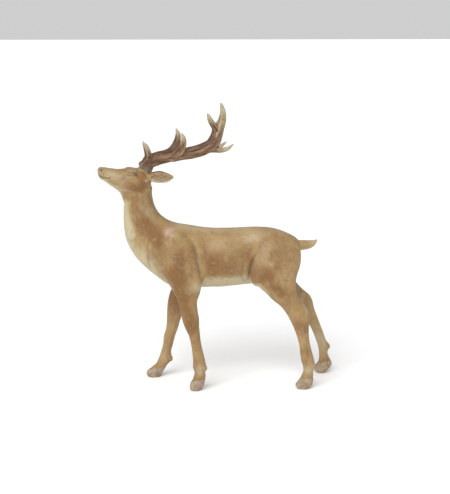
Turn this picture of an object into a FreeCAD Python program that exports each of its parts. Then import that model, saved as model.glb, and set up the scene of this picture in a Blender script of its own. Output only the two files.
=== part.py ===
"""A standing stag of cast and painted resin, 610 mm to its antler tips.

The torso is a hollow casting. The head and neck, the legs, the ears, the tail and the antlers
are cast solid and set on steel rods and pins. Each antler plugs into a keyed socket in the
skull and pulls out for packing.

Frame: nose towards -X, the stag's left side towards -Y, +Z up, hooves standing on Z = 0,
origin under the middle of the whole figure. Millimetres.
"""

import FreeCAD
import Part
import math
import os
from FreeCAD import Placement, Rotation, Vector

doc = FreeCAD.newDocument("garden_stag")

# ---------------------------------------------------------------- driving dimensions

DIMENSIONS = [
    ("stag_height", 610.0, "hooves to antler tips"),
    ("casting_wall", 6.0, "wall of the hollow torso"),
    ("leg_rod_radius", 3.0, "steel rod in each leg"),
    ("neck_rod_radius", 4.0, "steel rod in the neck"),
    ("dowel_radius", 3.0, "register dowels between torso and neck"),
    ("dowel_length", 18.0, "register dowels between torso and neck"),
    ("ear_pin_radius", 1.5, "steel pin in each ear"),
    ("tail_pin_radius", 1.5, "steel pin in the tail"),
    ("peg_radius", 3.4, "steel peg of an antler"),
    ("peg_flat", 2.4, "from the peg's axis to its key flat"),
    ("peg_length", 28.0, "half in the antler, half in the socket"),
    ("peg_clearance", 0.08, "running clearance round the peg"),
    ("socket_radius", 5.0, "outside of the brass socket"),
    ("socket_depth", 16.0, "length of the brass socket"),
    ("pedicle_radius", 11.5, "stub of the skull that an antler stands on"),
    ("pedicle_length", 20.0, "stub of the skull that an antler stands on"),
    ("burr_radius", 12.5, "rough collar at the foot of an antler"),
    ("burr_height", 5.0, "rough collar at the foot of an antler"),
    ("plug_radius", 9.0, "resin plug in the filling hole of the belly"),
]

sheet = doc.addObject("Spreadsheet::Sheet", "dims")
for row, (alias, value, meaning) in enumerate(DIMENSIONS, start=1):
    sheet.set(f"A{row}", meaning)
    sheet.set(f"B{row}", str(value))
    sheet.setAlias(f"B{row}", alias)
doc.recompute()
size = {alias: value for alias, value, _ in DIMENSIONS}

OUTLINE_HEIGHT = 610  # the outlines below are drawn for a stag of this height
SCALE = size["stag_height"] / OUTLINE_HEIGHT
SCALED = f"dims.stag_height / {OUTLINE_HEIGHT}"

# ---------------------------------------------------------------- outlines of the stag
# A rib is an ellipse: the (x, z) ends of its long axis, then its half width across the stag.

TORSO_RIBS = [
    ((164, 262), (173, 301), 17),
    ((153, 246), (166, 317), 31),
    ((136, 234), (150, 328), 39),
    ((110, 227), (122, 339.5), 43),
    ((80, 223), (90, 344.5), 42.5),
    ((45, 219.8), (48, 344.5), 41.5),
    ((5, 216.6), (5, 343.5), 43),
    ((-40, 216), (-38, 346.5), 44),
    ((-80, 214.8), (-72, 352.5), 43.5),
    ((-112, 224), (-96, 357.5), 42),
    ((-138, 244), (-112, 364), 40),
    ((-160, 263), (-122, 371.5), 37.5),
]
CAVITY_RIBS = TORSO_RIBS[2:10]

NECK_RIBS = [
    TORSO_RIBS[-1],
    ((-178, 283), (-129.5, 380), 34.5),
    ((-190, 303), (-135, 389.5), 31.5),
    ((-198, 323), (-138.5, 398), 29),
    ((-202, 347), (-141, 409), 26.5),
    ((-202.5, 372), (-142.3, 420), 24.5),
    ((-201.5, 393), (-142.5, 432), 23.5),
]
HEAD_RIBS = [
    ((-192, 376), (-150, 412), 17),
    ((-203, 406), (-143.5, 442), 23),
    ((-207, 419), (-145.5, 454), 24),
    ((-212, 426), (-152, 464), 24.5),
    ((-218, 431), (-163, 472.5), 24.5),
    ((-224, 435.5), (-178, 474.5), 23),
    ((-230, 439.5), (-197, 473.5), 19),
    ((-236, 444.3), (-214, 473), 15.5),
    ((-241.5, 448.5), (-229, 475.2), 12.5),
    ((-247, 452.2), (-241, 477.3), 11.5),
    ((-252, 457.2), (-250.5, 477.4), 9.5),
    ((-254.3, 462.8), (-254, 473.8), 5),
]

# A level section of a leg: its height, its front and back x, its y and its half width.
SHOULDER = [
    (308, -116, -52, 22, 17),
    (280, -121, -42, 26, 19),
    (250, -118, -39, 31, 19),
    (230, -109, -41, 34, 18),
]
THIGH = [
    (318, 92, 158, 17, 19),
    (290, 76, 168, 24, 22),
    (262, 68, 166, 29, 23),
    (240, 69, 161, 33, 22),
]
LEFT_FRONT_LEG = [
    (212, -99, -44, 36, 16.5),
    (193, -90.5, -50.5, 38, 14.5),
    (173, -86, -49.5, 39.5, 13.5),
    (156, -83, -47, 41, 12.5),
    (138, -77, -46.5, 42, 11.3),
    (120, -69, -45, 43, 10),
    (102, -64.5, -43, 44, 9),
    (84, -62, -39, 45, 8.8),
    (66, -60.5, -35, 46, 9.5),
    (49, -60.5, -32.5, 46, 10.5),
    (39, -57.5, -34.5, 46, 9.5),
    (30, -59, -33.5, 46, 10.8),
    (20, -64, -35, 46, 12.3),
    (9, -68, -38, 46, 13),
    (0, -67, -43, 46, 11.5),
]
RIGHT_FRONT_LEG = [
    (212, -101, -47, 36, 16.5),
    (193, -107, -58, 38, 14.5),
    (173, -111.5, -68, 39.5, 13.5),
    (150, -113.5, -77, 41.5, 12),
    (129, -114, -85, 43, 10.8),
    (111, -116, -90, 44, 9.8),
    (92.5, -121, -96.5, 45, 9),
    (74, -123, -101, 46, 8.8),
    (55.5, -128, -105.5, 47, 9.3),
    (38, -134.5, -104, 47, 10.5),
    (28, -140, -112.5, 47, 10.2),
    (19, -152, -118.5, 47, 11.8),
    (8, -161, -125, 47, 13),
    (0, -158, -129, 47, 11.5),
]
LEFT_HIND_LEG = [
    (222, 81, 159, 35.5, 20),
    (210, 94, 161, 37, 18.8),
    (196, 108, 166.5, 39, 17),
    (179, 128, 180.5, 42, 14),
    (164, 139.5, 187.5, 44, 12.2),
    (149, 147.5, 188, 46, 10.8),
    (134, 154.6, 187, 47.5, 9.8),
    (116, 161.3, 187, 49, 9),
    (98.5, 166, 189.6, 50, 8.6),
    (80.5, 168.3, 194, 51, 8.8),
    (62.5, 171, 199, 52, 9.8),
    (49, 175, 201.3, 52, 10.5),
    (37, 175.5, 197.3, 52, 9.8),
    (27, 171.3, 197.6, 52, 11),
    (17, 165, 197.5, 52, 12.5),
    (8, 159, 195.5, 52, 13),
    (0, 162, 191.5, 52, 11.5),
]
RIGHT_HIND_LEG = [
    (222, 85, 163, 35, 20),
    (210, 101, 172, 36.5, 18.5),
    (196, 120, 185, 38, 16.5),
    (182, 141, 201, 40, 14),
    (168, 157, 207.5, 42, 12.2),
    (150, 172, 212.3, 44, 10.5),
    (131, 188, 219.4, 45.5, 9.6),
    (112.5, 201.8, 226.5, 46.5, 9),
    (94, 211, 233.6, 47, 8.6),
    (75, 218.2, 240.7, 47.5, 8.8),
    (60.8, 223, 249.5, 48, 10.5),
    (47, 225.5, 244.5, 48, 9.2),
    (37, 226, 247.5, 48, 10.3),
    (27, 224.5, 252.5, 48, 11.8),
    (17, 217.5, 254.4, 48, 13),
    (7, 215, 247, 48, 12.8),
    (0, 220, 241, 48, 10),
]

# Each leg: its side (-1 left, 1 right), the part of it that belongs to the torso, its own
# sections, and its rod from the foot end to the upper end, with a bend in the hind ones.
LEGS = {
    "left_front_leg": (-1, SHOULDER, LEFT_FRONT_LEG,
                       [(-46, 46, 18), (-74, 34, 262)]),
    "right_front_leg": (1, SHOULDER, RIGHT_FRONT_LEG,
                        [(-117, 46.5, 44), (-64.5, 33, 262)]),
    "left_hind_leg": (-1, THIGH, LEFT_HIND_LEG,
                      [(186.5, 52, 42), (165.5, 44.5, 162), (96, 31.5, 254)]),
    "right_hind_leg": (1, THIGH, RIGHT_HIND_LEG,
                       [(237.5, 48, 46), (190, 42.5, 163), (97, 31.5, 251)]),
}
LEG_ROD_BEND = 22
NECK_ROD = [(-112.6, 0, 307.2), (-166, 0, 325.9), (-175, 0, 441)]
NECK_ROD_BEND = 30
DOWEL_OFFSET = 18  # from the middle of the neck joint to each dowel
PLUG_CENTRE = Vector(25, 0, 212)
PLUG_TOP = 236

TAIL_RIBS = [
    ((163, 293), (161, 313), 9),
    ((172, 292.5), (171, 314.5), 9.5),
    ((181, 293.5), (180, 314.8), 9),
    ((190, 295), (189, 314.3), 7.8),
    ((198, 298.5), (198.5, 314.3), 6),
    ((204.5, 304.5), (205.5, 315.2), 3.8),
    ((208.3, 312), (208.8, 316.6), 1.6),
]
TAIL_ROOT = [((150, 294), (150, 311), 8), TAIL_RIBS[0]]
TAIL_PIN = [(148, 0, 302.5), (184, 0, 304)]

# The head looks a little to the stag's left. It is turned about an upright line at the nape,
# and the ears and the antlers below are given in the head's own frame, for the left side.
HEAD_TURN_DEG = 6.0
NAPE = Vector(-150, 0, 0)

# A section of an ear: its centre, its half height and its half thickness.
EAR_SECTIONS = [
    ((-150, -23, 456.5), 7.2, 5.4),
    ((-142, -29, 457.7), 9.8, 5.4),
    ((-132, -36.5, 458.6), 11.9, 5.0),
    ((-121, -44.5, 459.4), 11.2, 4.2),
    ((-111.5, -51.5, 460.2), 7.8, 3.0),
    ((-104, -57, 461.3), 2.6, 1.4),
]
EAR_ROOT = [((-166, -11, 452), 8.5, 7), EAR_SECTIONS[0]]
EAR_HOLLOW = [
    ((-147, -32.5, 457), 3.2, 2.0),
    ((-138, -39, 457.6), 7.4, 3.6),
    ((-128, -46.5, 458.4), 8.6, 3.8),
    ((-117, -53, 459.4), 6.2, 3.0),
    ((-109, -57.5, 460.4), 2.4, 1.2),
]
EAR_PIN = [(-161, -14, 449), (-143.5, -27, 457)]

# The right ear and antler are nearly mirrors of the left. The ear hangs lower, by this much at
# its root and a run further out. The crown leans back, in and down, more at its top, and the
# brow and rear tines are shorter.
RIGHT_EAR_DROP = (4.0, 6.5)
RIGHT_EAR_BEND = 20.0
RIGHT_CROWN_LEAN = [
    (0, -80.0, -12.0, (7, 2, -5)),
    (2, 530.0, 610.0, (7, 6, -4)),
]
RIGHT_SHARES = {"brow_tine": 0.87, "rear_tine": 0.88}

# A section of an antler: its centre and its radius.
ANTLER_SEAT = Vector(-156, -14.5, 472.5)
ANTLER_AXIS = Vector(0.42, -0.22, 0.88)
ANTLER_BRANCHES = {
    "beam": [
        ((-154.8, -15.2, 475.1), 11.0),
        ((-150.0, -17.5, 483.0), 11.0),
        ((-139.5, -21.8, 489.6), 10.4),
        ((-126.8, -27, 493.8), 9.4),
        ((-111.6, -32, 496.9), 8.4),
        ((-95.5, -36.5, 499.0), 7.8),
        ((-79.4, -40.5, 501.0), 7.0),
        ((-63, -43.5, 503.2), 6.7),
        ((-46.8, -45.5, 508.0), 7.1),
        ((-30.5, -46.5, 514.8), 7.9),
        ((-18.2, -47, 522.4), 8.6),
        ((-11.8, -47.5, 532.6), 8.3),
        ((-7.6, -48, 545.0), 7.8),
        ((-4.4, -48.5, 557.5), 7.2),
        ((0.9, -49, 575.4), 6.0),
        ((1.0, -49.5, 593.7), 4.4),
        ((-3.2, -50, 609.2), 1.8),
    ],
    "front_prong": [
        ((-7.5, -48, 551.0), 5.9),
        ((-13.0, -48, 559.0), 5.6),
        ((-20.0, -47.5, 568.0), 5.0),
        ((-25.3, -47, 577.5), 3.8),
        ((-29.0, -46.5, 587.0), 1.8),
    ],
    "rear_tine": [
        ((-26.0, -46.5, 517.4), 6.2),
        ((-13.0, -46.5, 513.8), 5.9),
        ((-1.6, -46.5, 513.2), 5.3),
        ((10.6, -46.3, 516.2), 4.2),
        ((22.0, -46, 524.6), 1.6),
    ],
    "middle_tine": [
        ((-105.0, -34.5, 497.5), 7.2),
        ((-94.0, -37.8, 505.0), 8.0),
        ((-86.0, -41.0, 515.0), 7.0),
        ((-81.6, -43.3, 527.0), 5.5),
        ((-80.6, -45.4, 538.5), 4.2),
        ((-84.9, -47.0, 549.5), 1.7),
    ],
    "brow_tine": [
        ((-146.0, -19.5, 489.0), 7.2),
        ((-148.0, -25.5, 499.5), 6.0),
        ((-151.2, -32.0, 511.0), 4.9),
        ((-154.3, -37.0, 520.5), 3.8),
        ((-157.2, -40.0, 528.5), 1.8),
    ],
}

# ---------------------------------------------------------------- making the solids


def turned(point):
    """A point of the head's own frame, in the stag's."""
    turn = Rotation(Vector(0, 0, 1), HEAD_TURN_DEG)
    return NAPE + turn.multVec(Vector(*point) - NAPE)


def on_side(point, side):
    """A point that is given for the left side, on that side: -1 left, 1 right."""
    return Vector(point[0], -side * point[1], point[2])


def eased(value, low, high):
    """0 below low and 1 above high, with a soft change between."""
    t = min(max((value - low) / (high - low), 0), 1)
    return t * t * (3 - 2 * t)


def ear_point(point, side):
    """A point of the ear on that side, in the stag's frame."""
    point = Vector(*point)
    if side > 0:
        foot, tip = Vector(*EAR_SECTIONS[0][0]), Vector(*EAR_SECTIONS[-1][0])
        along = (point - foot).dot((tip - foot).normalize())
        point.z -= RIGHT_EAR_DROP[0] + RIGHT_EAR_DROP[1] * eased(along, 0, RIGHT_EAR_BEND)
    return turned(on_side(point, side))


def antler_sections(branch, side):
    """The sections of a branch of the antler on that side, in the stag's frame."""
    root = Vector(*ANTLER_BRANCHES[branch][0][0])
    sections = []
    for point, radius in ANTLER_BRANCHES[branch]:
        point = Vector(*point)
        if side > 0:
            point = root + (point - root) * RIGHT_SHARES.get(branch, 1)
            lean = Vector()
            for axis, low, high, shift in RIGHT_CROWN_LEAN:
                lean += Vector(*shift) * eased(point[axis], low, high)
            point += lean
        sections.append((turned(on_side(point, side)), radius))
    return sections


def place(obj, centre, rotation):
    """Puts obj at a centre that scales with the stag."""
    obj.Placement = Placement(centre * SCALE, rotation)
    obj.setExpression("Placement.Base.x", f"{centre.x:.4f} * {SCALED}")
    obj.setExpression("Placement.Base.y", f"{centre.y:.4f} * {SCALED}")
    obj.setExpression("Placement.Base.z", f"{centre.z:.4f} * {SCALED}")


def ellipse(name, centre, rotation, half_long, half_wide, inset=""):
    """An ellipse with its long axis along its own X, both radii less the inset."""
    obj = doc.addObject("Part::Ellipse", name)
    obj.setExpression("MajorRadius", f"{half_long:.4f} * {SCALED} {inset}")
    obj.setExpression("MinorRadius", f"{half_wide:.4f} * {SCALED} {inset}")
    place(obj, centre, rotation)
    return obj


def circle(name, centre, normal, radius):
    obj = doc.addObject("Part::Circle", name)
    obj.setExpression("Radius", radius)
    place(obj, centre, Rotation(Vector(0, 1, 0), Vector(), normal, "ZXY"))
    return obj


def loft(name, sections):
    obj = doc.addObject("Part::Loft", name)
    obj.Sections = sections
    obj.Solid = True
    return obj


def rib_loft(name, ribs, inset="", head=False):
    """A loft through ribs that stand across the stag."""
    rings = []
    for (low_x, low_z), (high_x, high_z), half_wide in ribs:
        along = Vector(high_x - low_x, 0, high_z - low_z)
        centre = Vector((low_x + high_x) / 2, 0, (low_z + high_z) / 2)
        rotation = Rotation(along, Vector(0, 1, 0), Vector(), "XYZ")
        if head:
            centre = turned(centre)
            rotation = Rotation(Vector(0, 0, 1), HEAD_TURN_DEG).multiply(rotation)
        rings.append(ellipse(f"{name}_rib", centre, rotation, along.Length / 2, half_wide, inset))
    return loft(name, rings)


def leg_loft(name, sections, side):
    """A loft through level sections whose long axis runs fore and aft."""
    rings = []
    for height, front_x, back_x, y, half_wide in sections:
        centre = Vector((front_x + back_x) / 2, side * y, height)
        rings.append(ellipse(f"{name}_section", centre, Rotation(), (back_x - front_x) / 2, half_wide))
    return loft(name, rings)


def branch_loft(name, sections):
    """A tapering branch of an antler, through rings that stand square to its run."""
    points = [point for point, _ in sections]
    rings = []
    for i, (_, radius) in enumerate(sections):
        run = points[min(i + 1, len(points) - 1)] - points[max(i - 1, 0)]
        rings.append(circle(f"{name}_ring", points[i], run, f"{radius} * {SCALED}"))
    return loft(name, rings)


def leaf_loft(name, sections, side):
    """An ear, its root or the hollow in it, through upright ellipses across the ear's run."""
    run = turned(on_side(EAR_SECTIONS[-1][0], side)) - turned(on_side(EAR_SECTIONS[0][0], side))
    rotation = Rotation(Vector(0, 0, 1), Vector(), run, "ZXY")
    rings = [
        ellipse(f"{name}_ring", ear_point(point, side), rotation, half_high, half_thick)
        for point, half_high, half_thick in sections
    ]
    return loft(name, rings)


def rod(name, start, end, radius_cell):
    """A straight round bar between two points."""
    bar = doc.addObject("Part::Cylinder", name)
    bar.setExpression("Radius", f"dims.{radius_cell}")
    bar.setExpression("Height", f"{(end - start).Length:.4f} * {SCALED}")
    place(bar, start, Rotation(Vector(0, 0, 1), end - start))
    return bar


def bent_rod(name, start, corner, end, bend_radius, radius_cell):
    """A round bar of two straight runs and the arc between them."""
    back, ahead = (start - corner).normalize(), (end - corner).normalize()
    half_turn = (math.pi - back.getAngle(ahead)) / 2
    tangent = bend_radius * math.tan(half_turn)
    centre = corner + (back + ahead).normalize() * (bend_radius / math.cos(half_turn))
    arc_start, arc_end = corner + back * tangent, corner + ahead * tangent
    arc_middle = centre + (corner - centre).normalize() * bend_radius
    line = doc.addObject("Part::Feature", f"{name}_line")
    line.Shape = Part.Wire([
        Part.LineSegment(start * SCALE, arc_start * SCALE).toShape(),
        Part.Arc(arc_start * SCALE, arc_middle * SCALE, arc_end * SCALE).toShape(),
        Part.LineSegment(arc_end * SCALE, end * SCALE).toShape(),
    ])
    bar = doc.addObject("Part::Sweep", name)
    bar.Sections = [circle(f"{name}_section", start, corner - start, f"dims.{radius_cell}")]
    bar.Spine = (line, ["Edge1", "Edge2", "Edge3"])
    bar.Solid = True
    return bar


def join(name, shapes):
    obj = doc.addObject("Part::MultiFuse", name)
    obj.Shapes = shapes
    return obj


def cut(name, base, tools):
    """base with the tools taken away."""
    obj = doc.addObject("Part::Cut", name)
    obj.Base = base
    obj.Tool = tools[0] if len(tools) == 1 else join(f"{name}_tools", tools)
    return obj


# ---------------------------------------------------------------- pins, pegs and rods


def leg_rod(leg):
    side, _, _, points = LEGS[leg]
    points = [Vector(x, side * y, z) for x, y, z in points]
    if len(points) == 2:
        return rod(f"{leg}_rod", *points, "leg_rod_radius")
    return bent_rod(f"{leg}_rod", *points, LEG_ROD_BEND, "leg_rod_radius")


def register_dowel(name, y):
    """A dowel square to the plane where the neck meets the torso, half in each."""
    (low_x, low_z), (high_x, high_z), _ = NECK_RIBS[0]
    normal = Vector(low_z - high_z, 0, high_x - low_x).normalize()
    middle = Vector((low_x + high_x) / 2, y, (low_z + high_z) / 2)
    start = middle - normal * (size["dowel_length"] / SCALE / 2)
    dowel = doc.addObject("Part::Cylinder", name)
    dowel.setExpression("Radius", "dims.dowel_radius")
    dowel.setExpression("Height", "dims.dowel_length")
    place(dowel, start, Rotation(Vector(0, 0, 1), normal))
    return dowel


def seat_frame(side, height):
    """A place on the peg's axis, that high above the seat. Z is along the peg."""
    turn = Rotation(Vector(0, 0, 1), HEAD_TURN_DEG)
    axis = turn.multVec(on_side(ANTLER_AXIS, side)).normalize()
    centre = turned(on_side(ANTLER_SEAT, side)) * SCALE + axis * height
    return Placement(centre, Rotation(Vector(1, 0, 0), Vector(), axis, "ZXY"))


def seat_cylinder(name, side, radius, height, start):
    """A cylinder along the peg's axis. Its radius and height are expressions."""
    obj = doc.addObject("Part::Cylinder", name)
    obj.setExpression("Radius", radius)
    obj.setExpression("Height", height)
    obj.Placement = seat_frame(side, start)
    return obj


def keyed_cylinder(name, side, extra, height, start):
    """A peg with one flat along it, or the bore for it when extra is the clearance."""
    round_bar = seat_cylinder(f"{name}_round", side, f"dims.peg_radius + {extra}", height, start)
    flat = doc.addObject("Part::Box", f"{name}_flat")
    flat.setExpression("Length", "dims.socket_radius * 2")
    flat.setExpression("Width", "dims.socket_radius * 2")
    flat.setExpression("Height", height)
    frame = seat_frame(side, start)
    clearance = size["peg_clearance"] if extra else 0
    corner = Vector(size["peg_flat"] + clearance, -size["socket_radius"], 0)
    flat.Placement = frame.multiply(Placement(corner, Rotation()))
    return cut(name, round_bar, [flat])


def ear_pin(name, side):
    start, end = [ear_point(point, side) for point in EAR_PIN]
    return rod(name, start, end, "ear_pin_radius")


pieces = {}
for leg in LEGS:
    pieces[f"{leg}_rod"] = leg_rod(leg)
pieces["neck_rod"] = bent_rod(
    "neck_rod", *[Vector(*point) for point in NECK_ROD], NECK_ROD_BEND, "neck_rod_radius"
)
pieces["register_dowels"] = join("register_dowels", [
    register_dowel("left_dowel", -DOWEL_OFFSET),
    register_dowel("right_dowel", DOWEL_OFFSET),
])
pieces["tail_pin"] = rod("tail_pin", *[Vector(*point) for point in TAIL_PIN], "tail_pin_radius")
SIDES = {"left": -1, "right": 1}
for word, side in SIDES.items():
    pieces[f"{word}_ear_pin"] = ear_pin(f"{word}_ear_pin", side)
    pieces[f"{word}_antler_peg"] = keyed_cylinder(
        f"{word}_antler_peg", side, 0, "dims.peg_length", -size["peg_length"] / 2
    )

# ---------------------------------------------------------------- torso

torso_outside = rib_loft("torso_outside", TORSO_RIBS)
torso_cavity = rib_loft("torso_cavity", CAVITY_RIBS, "- dims.casting_wall")
torso_shell = cut("torso_shell", torso_outside, [torso_cavity])
haunches = [
    leg_loft(f"{leg}_upper", upper + sections[:1], side)
    for leg, (side, upper, sections, _) in LEGS.items()
]
tail_root = rib_loft("tail_root", TAIL_ROOT)
torso_body = join("torso_body", [torso_shell, tail_root] + haunches)

plug_hole = doc.addObject("Part::Cylinder", "plug_hole")
plug_hole.setExpression("Radius", "dims.plug_radius")
plug_hole.setExpression("Height", f"{PLUG_TOP - PLUG_CENTRE.z} * {SCALED}")
place(plug_hole, PLUG_CENTRE, Rotation())
belly_plug = doc.addObject("Part::Common", "belly_plug")
belly_plug.Base = plug_hole
belly_plug.Tool = torso_outside
pieces["belly_plug"] = belly_plug

torso_rods = [pieces[f"{leg}_rod"] for leg in LEGS]
torso_rods += [pieces["neck_rod"], pieces["register_dowels"], pieces["tail_pin"]]
tail_solid = rib_loft("tail_solid", TAIL_RIBS)
pieces["torso_casting"] = cut("torso_casting", torso_body, torso_rods + [plug_hole, tail_solid])

# ---------------------------------------------------------------- legs and tail

for leg, (side, _, sections, _) in LEGS.items():
    solid_leg = leg_loft(f"{leg}_solid", sections, side)
    pieces[leg] = cut(leg, solid_leg, [pieces[f"{leg}_rod"]])

pieces["tail_casting"] = cut("tail_casting", tail_solid, [pieces["tail_pin"]])

# ---------------------------------------------------------------- head, ears and antlers

neck = rib_loft("neck", NECK_RIBS)
skull = rib_loft("skull", HEAD_RIBS, head=True)
head_solids, head_holes = [neck, skull], [pieces["neck_rod"], pieces["register_dowels"]]
for word, side in SIDES.items():
    pedicle = seat_cylinder(f"{word}_pedicle", side, "dims.pedicle_radius", "dims.pedicle_length",
                            -size["pedicle_length"])
    head_solids += [pedicle, leaf_loft(f"{word}_ear_root", EAR_ROOT, side)]
    socket_hole = seat_cylinder(f"{word}_socket_hole", side, "dims.socket_radius",
                                "dims.socket_depth", -size["socket_depth"])
    head_holes += [socket_hole, pieces[f"{word}_ear_pin"]]

    socket_bore = keyed_cylinder(f"{word}_socket_bore", side, "dims.peg_clearance",
                                 "dims.socket_depth", -size["socket_depth"])
    pieces[f"{word}_antler_socket"] = cut(f"{word}_antler_socket", socket_hole, [socket_bore])

    ear = leaf_loft(f"{word}_ear_solid", EAR_SECTIONS, side)
    hollow = leaf_loft(f"{word}_ear_hollow", EAR_HOLLOW, side)
    pieces[f"{word}_ear"] = cut(f"{word}_ear", ear, [hollow, pieces[f"{word}_ear_pin"]])

    burr = seat_cylinder(f"{word}_burr", side, "dims.burr_radius", "dims.burr_height", 0)
    branches = [
        branch_loft(f"{word}_{branch}", antler_sections(branch, side))
        for branch in ANTLER_BRANCHES
    ]
    antler_solid = join(f"{word}_antler_solid", [burr] + branches)
    pieces[f"{word}_antler"] = cut(f"{word}_antler", antler_solid, [pieces[f"{word}_antler_peg"]])

pieces["head_and_neck_casting"] = cut("head_and_neck_casting", join("head_solid", head_solids), head_holes)

# ---------------------------------------------------------------- checks and files

doc.recompute()
for obj in doc.Objects:
    if {"Invalid", "Error"} & set(obj.State):
        raise RuntimeError(f"{obj.Name} did not recompute: {obj.State}")
os.makedirs("parts", exist_ok=True)
for node, piece in pieces.items():
    piece.Label = node
    shape = piece.Shape
    if shape.isNull() or not shape.isValid() or not shape.Solids:
        raise RuntimeError(f"{node} has no valid solid: {shape.isNull()} {shape.isValid()} {shape.Volume}")
for node, piece in pieces.items():
    piece.Shape.exportStep(f"parts/{node}.step")
    print(f"{node}: {len(piece.Shape.Solids)} solid(s), {piece.Shape.Volume / 1000:.2f} cm3")
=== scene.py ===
"""A standing stag of cast resin, painted by hand, built round its CAD frame.

The body is modelled as one skin in millimetres: lofted forms are melted together in a block of
clay (a voxel field), and tools then press grooves and raise folds in the skin. The skin is cut
where the castings meet, so that every piece of the frame has its own closed mesh. The ears and
the antlers are modelled the same way in finer clay.
"""

import math

import bmesh
import bpy
import numpy as np
import openvdb as vdb
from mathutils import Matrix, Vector


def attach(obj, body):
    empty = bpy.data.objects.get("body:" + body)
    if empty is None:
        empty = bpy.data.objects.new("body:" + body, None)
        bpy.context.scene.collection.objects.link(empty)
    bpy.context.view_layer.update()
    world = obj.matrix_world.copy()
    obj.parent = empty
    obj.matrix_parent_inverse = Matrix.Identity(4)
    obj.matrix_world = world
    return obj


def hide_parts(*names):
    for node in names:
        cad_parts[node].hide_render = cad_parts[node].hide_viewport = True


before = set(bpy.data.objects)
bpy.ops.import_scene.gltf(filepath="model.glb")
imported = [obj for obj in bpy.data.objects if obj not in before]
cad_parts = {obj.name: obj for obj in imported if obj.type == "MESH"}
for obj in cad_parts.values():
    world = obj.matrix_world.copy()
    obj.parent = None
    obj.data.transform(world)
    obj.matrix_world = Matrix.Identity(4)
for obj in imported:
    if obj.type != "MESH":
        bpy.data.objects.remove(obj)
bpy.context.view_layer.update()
rng = np.random.default_rng(24)

MM = 0.001
COARSE = 1.0
BODY_VOXEL = 1.15 * COARSE
HEAD_VOXEL = 0.85 * COARSE
EAR_VOXEL = 0.6 * COARSE
ANTLER_VOXEL = 0.75 * COARSE
BAND = 14  # voxels on each side of a surface in which its distance is known
RING = 72  # points round a lofted ring
LEFT, RIGHT = -1, 1
SIDES = {"left": LEFT, "right": RIGHT}

# ---------------------------------------------------------------- outlines, in millimetres
# A rib is an ellipse: the (x, z) ends of its long axis, then its half width across the stag.

TORSO_RIBS = [
    ((164, 262), (173, 301), 17),
    ((153, 246), (166, 317), 31),
    ((136, 234), (150, 328), 39),
    ((110, 227), (122, 339.5), 43),
    ((80, 223), (90, 344.5), 42.5),
    ((45, 219.8), (48, 344.5), 41.5),
    ((5, 216.6), (5, 343.5), 43),
    ((-40, 216), (-38, 346.5), 44),
    ((-80, 214.8), (-72, 352.5), 43.5),
    ((-112, 224), (-96, 357.5), 42),
    ((-138, 244), (-112, 364), 40),
    ((-160, 263), (-122, 371.5), 37.5),
]
NECK_RIBS = [
    ((-178, 283), (-129.5, 380), 34.5),
    ((-190, 303), (-135, 389.5), 31.5),
    ((-198, 323), (-138.5, 398), 29),
    ((-202, 347), (-141, 409), 26.5),
    ((-202.5, 372), (-142.3, 420), 24.5),
    ((-201.5, 393), (-142.5, 432), 23.5),
]
HEAD_RIBS = [
    ((-192, 376), (-150, 412), 17),
    ((-203, 406), (-143.5, 442), 23),
    ((-207, 419), (-145.5, 454), 24),
    ((-212, 426), (-152, 464), 24.5),
    ((-218, 431), (-163, 472.5), 24.5),
    ((-224, 435.5), (-178, 474.5), 23),
    ((-230, 439.5), (-197, 473.5), 19),
    ((-236, 444.3), (-214, 473), 15.5),
    ((-241.5, 448.5), (-229, 475.2), 12.5),
    ((-247, 452.2), (-241, 477.3), 11.5),
    ((-252, 457.2), (-250.5, 477.4), 9.5),
    ((-254.3, 462.8), (-254, 473.8), 5),
]
TAIL_RIBS = [
    ((150, 294), (150, 311), 8),
    ((163, 293), (161, 313), 9),
    ((172, 292.5), (171, 314.5), 9.5),
    ((181, 293.5), (180, 314.8), 9),
    ((190, 295), (189, 314.3), 7.8),
    ((198, 298.5), (198.5, 314.3), 6),
    ((204.5, 304.5), (205.5, 315.2), 3.8),
    ((208.3, 312), (208.8, 316.6), 1.6),
]
NECK_JOINT = TORSO_RIBS[-1]
TAIL_JOINT_X = 162
TAIL_CLEAR_X = 176  # the skin from the joint to here is the rump's, which the tail starts inside
TAIL_HALF_WIDTH = 14
TAIL_BOTTOM, TAIL_TOP = 286, 322
FRONT_JOINT_HEIGHT = 212
HIND_JOINT_HEIGHT = 222
FRONT_LEGS_END = 20  # no part of a front leg is behind this x
HIND_LEGS_START = 60  # no part of a hind leg is ahead of this x
CROTCH_HALF_WIDTH = 8  # the underside between the hind legs stays with the torso

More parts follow.
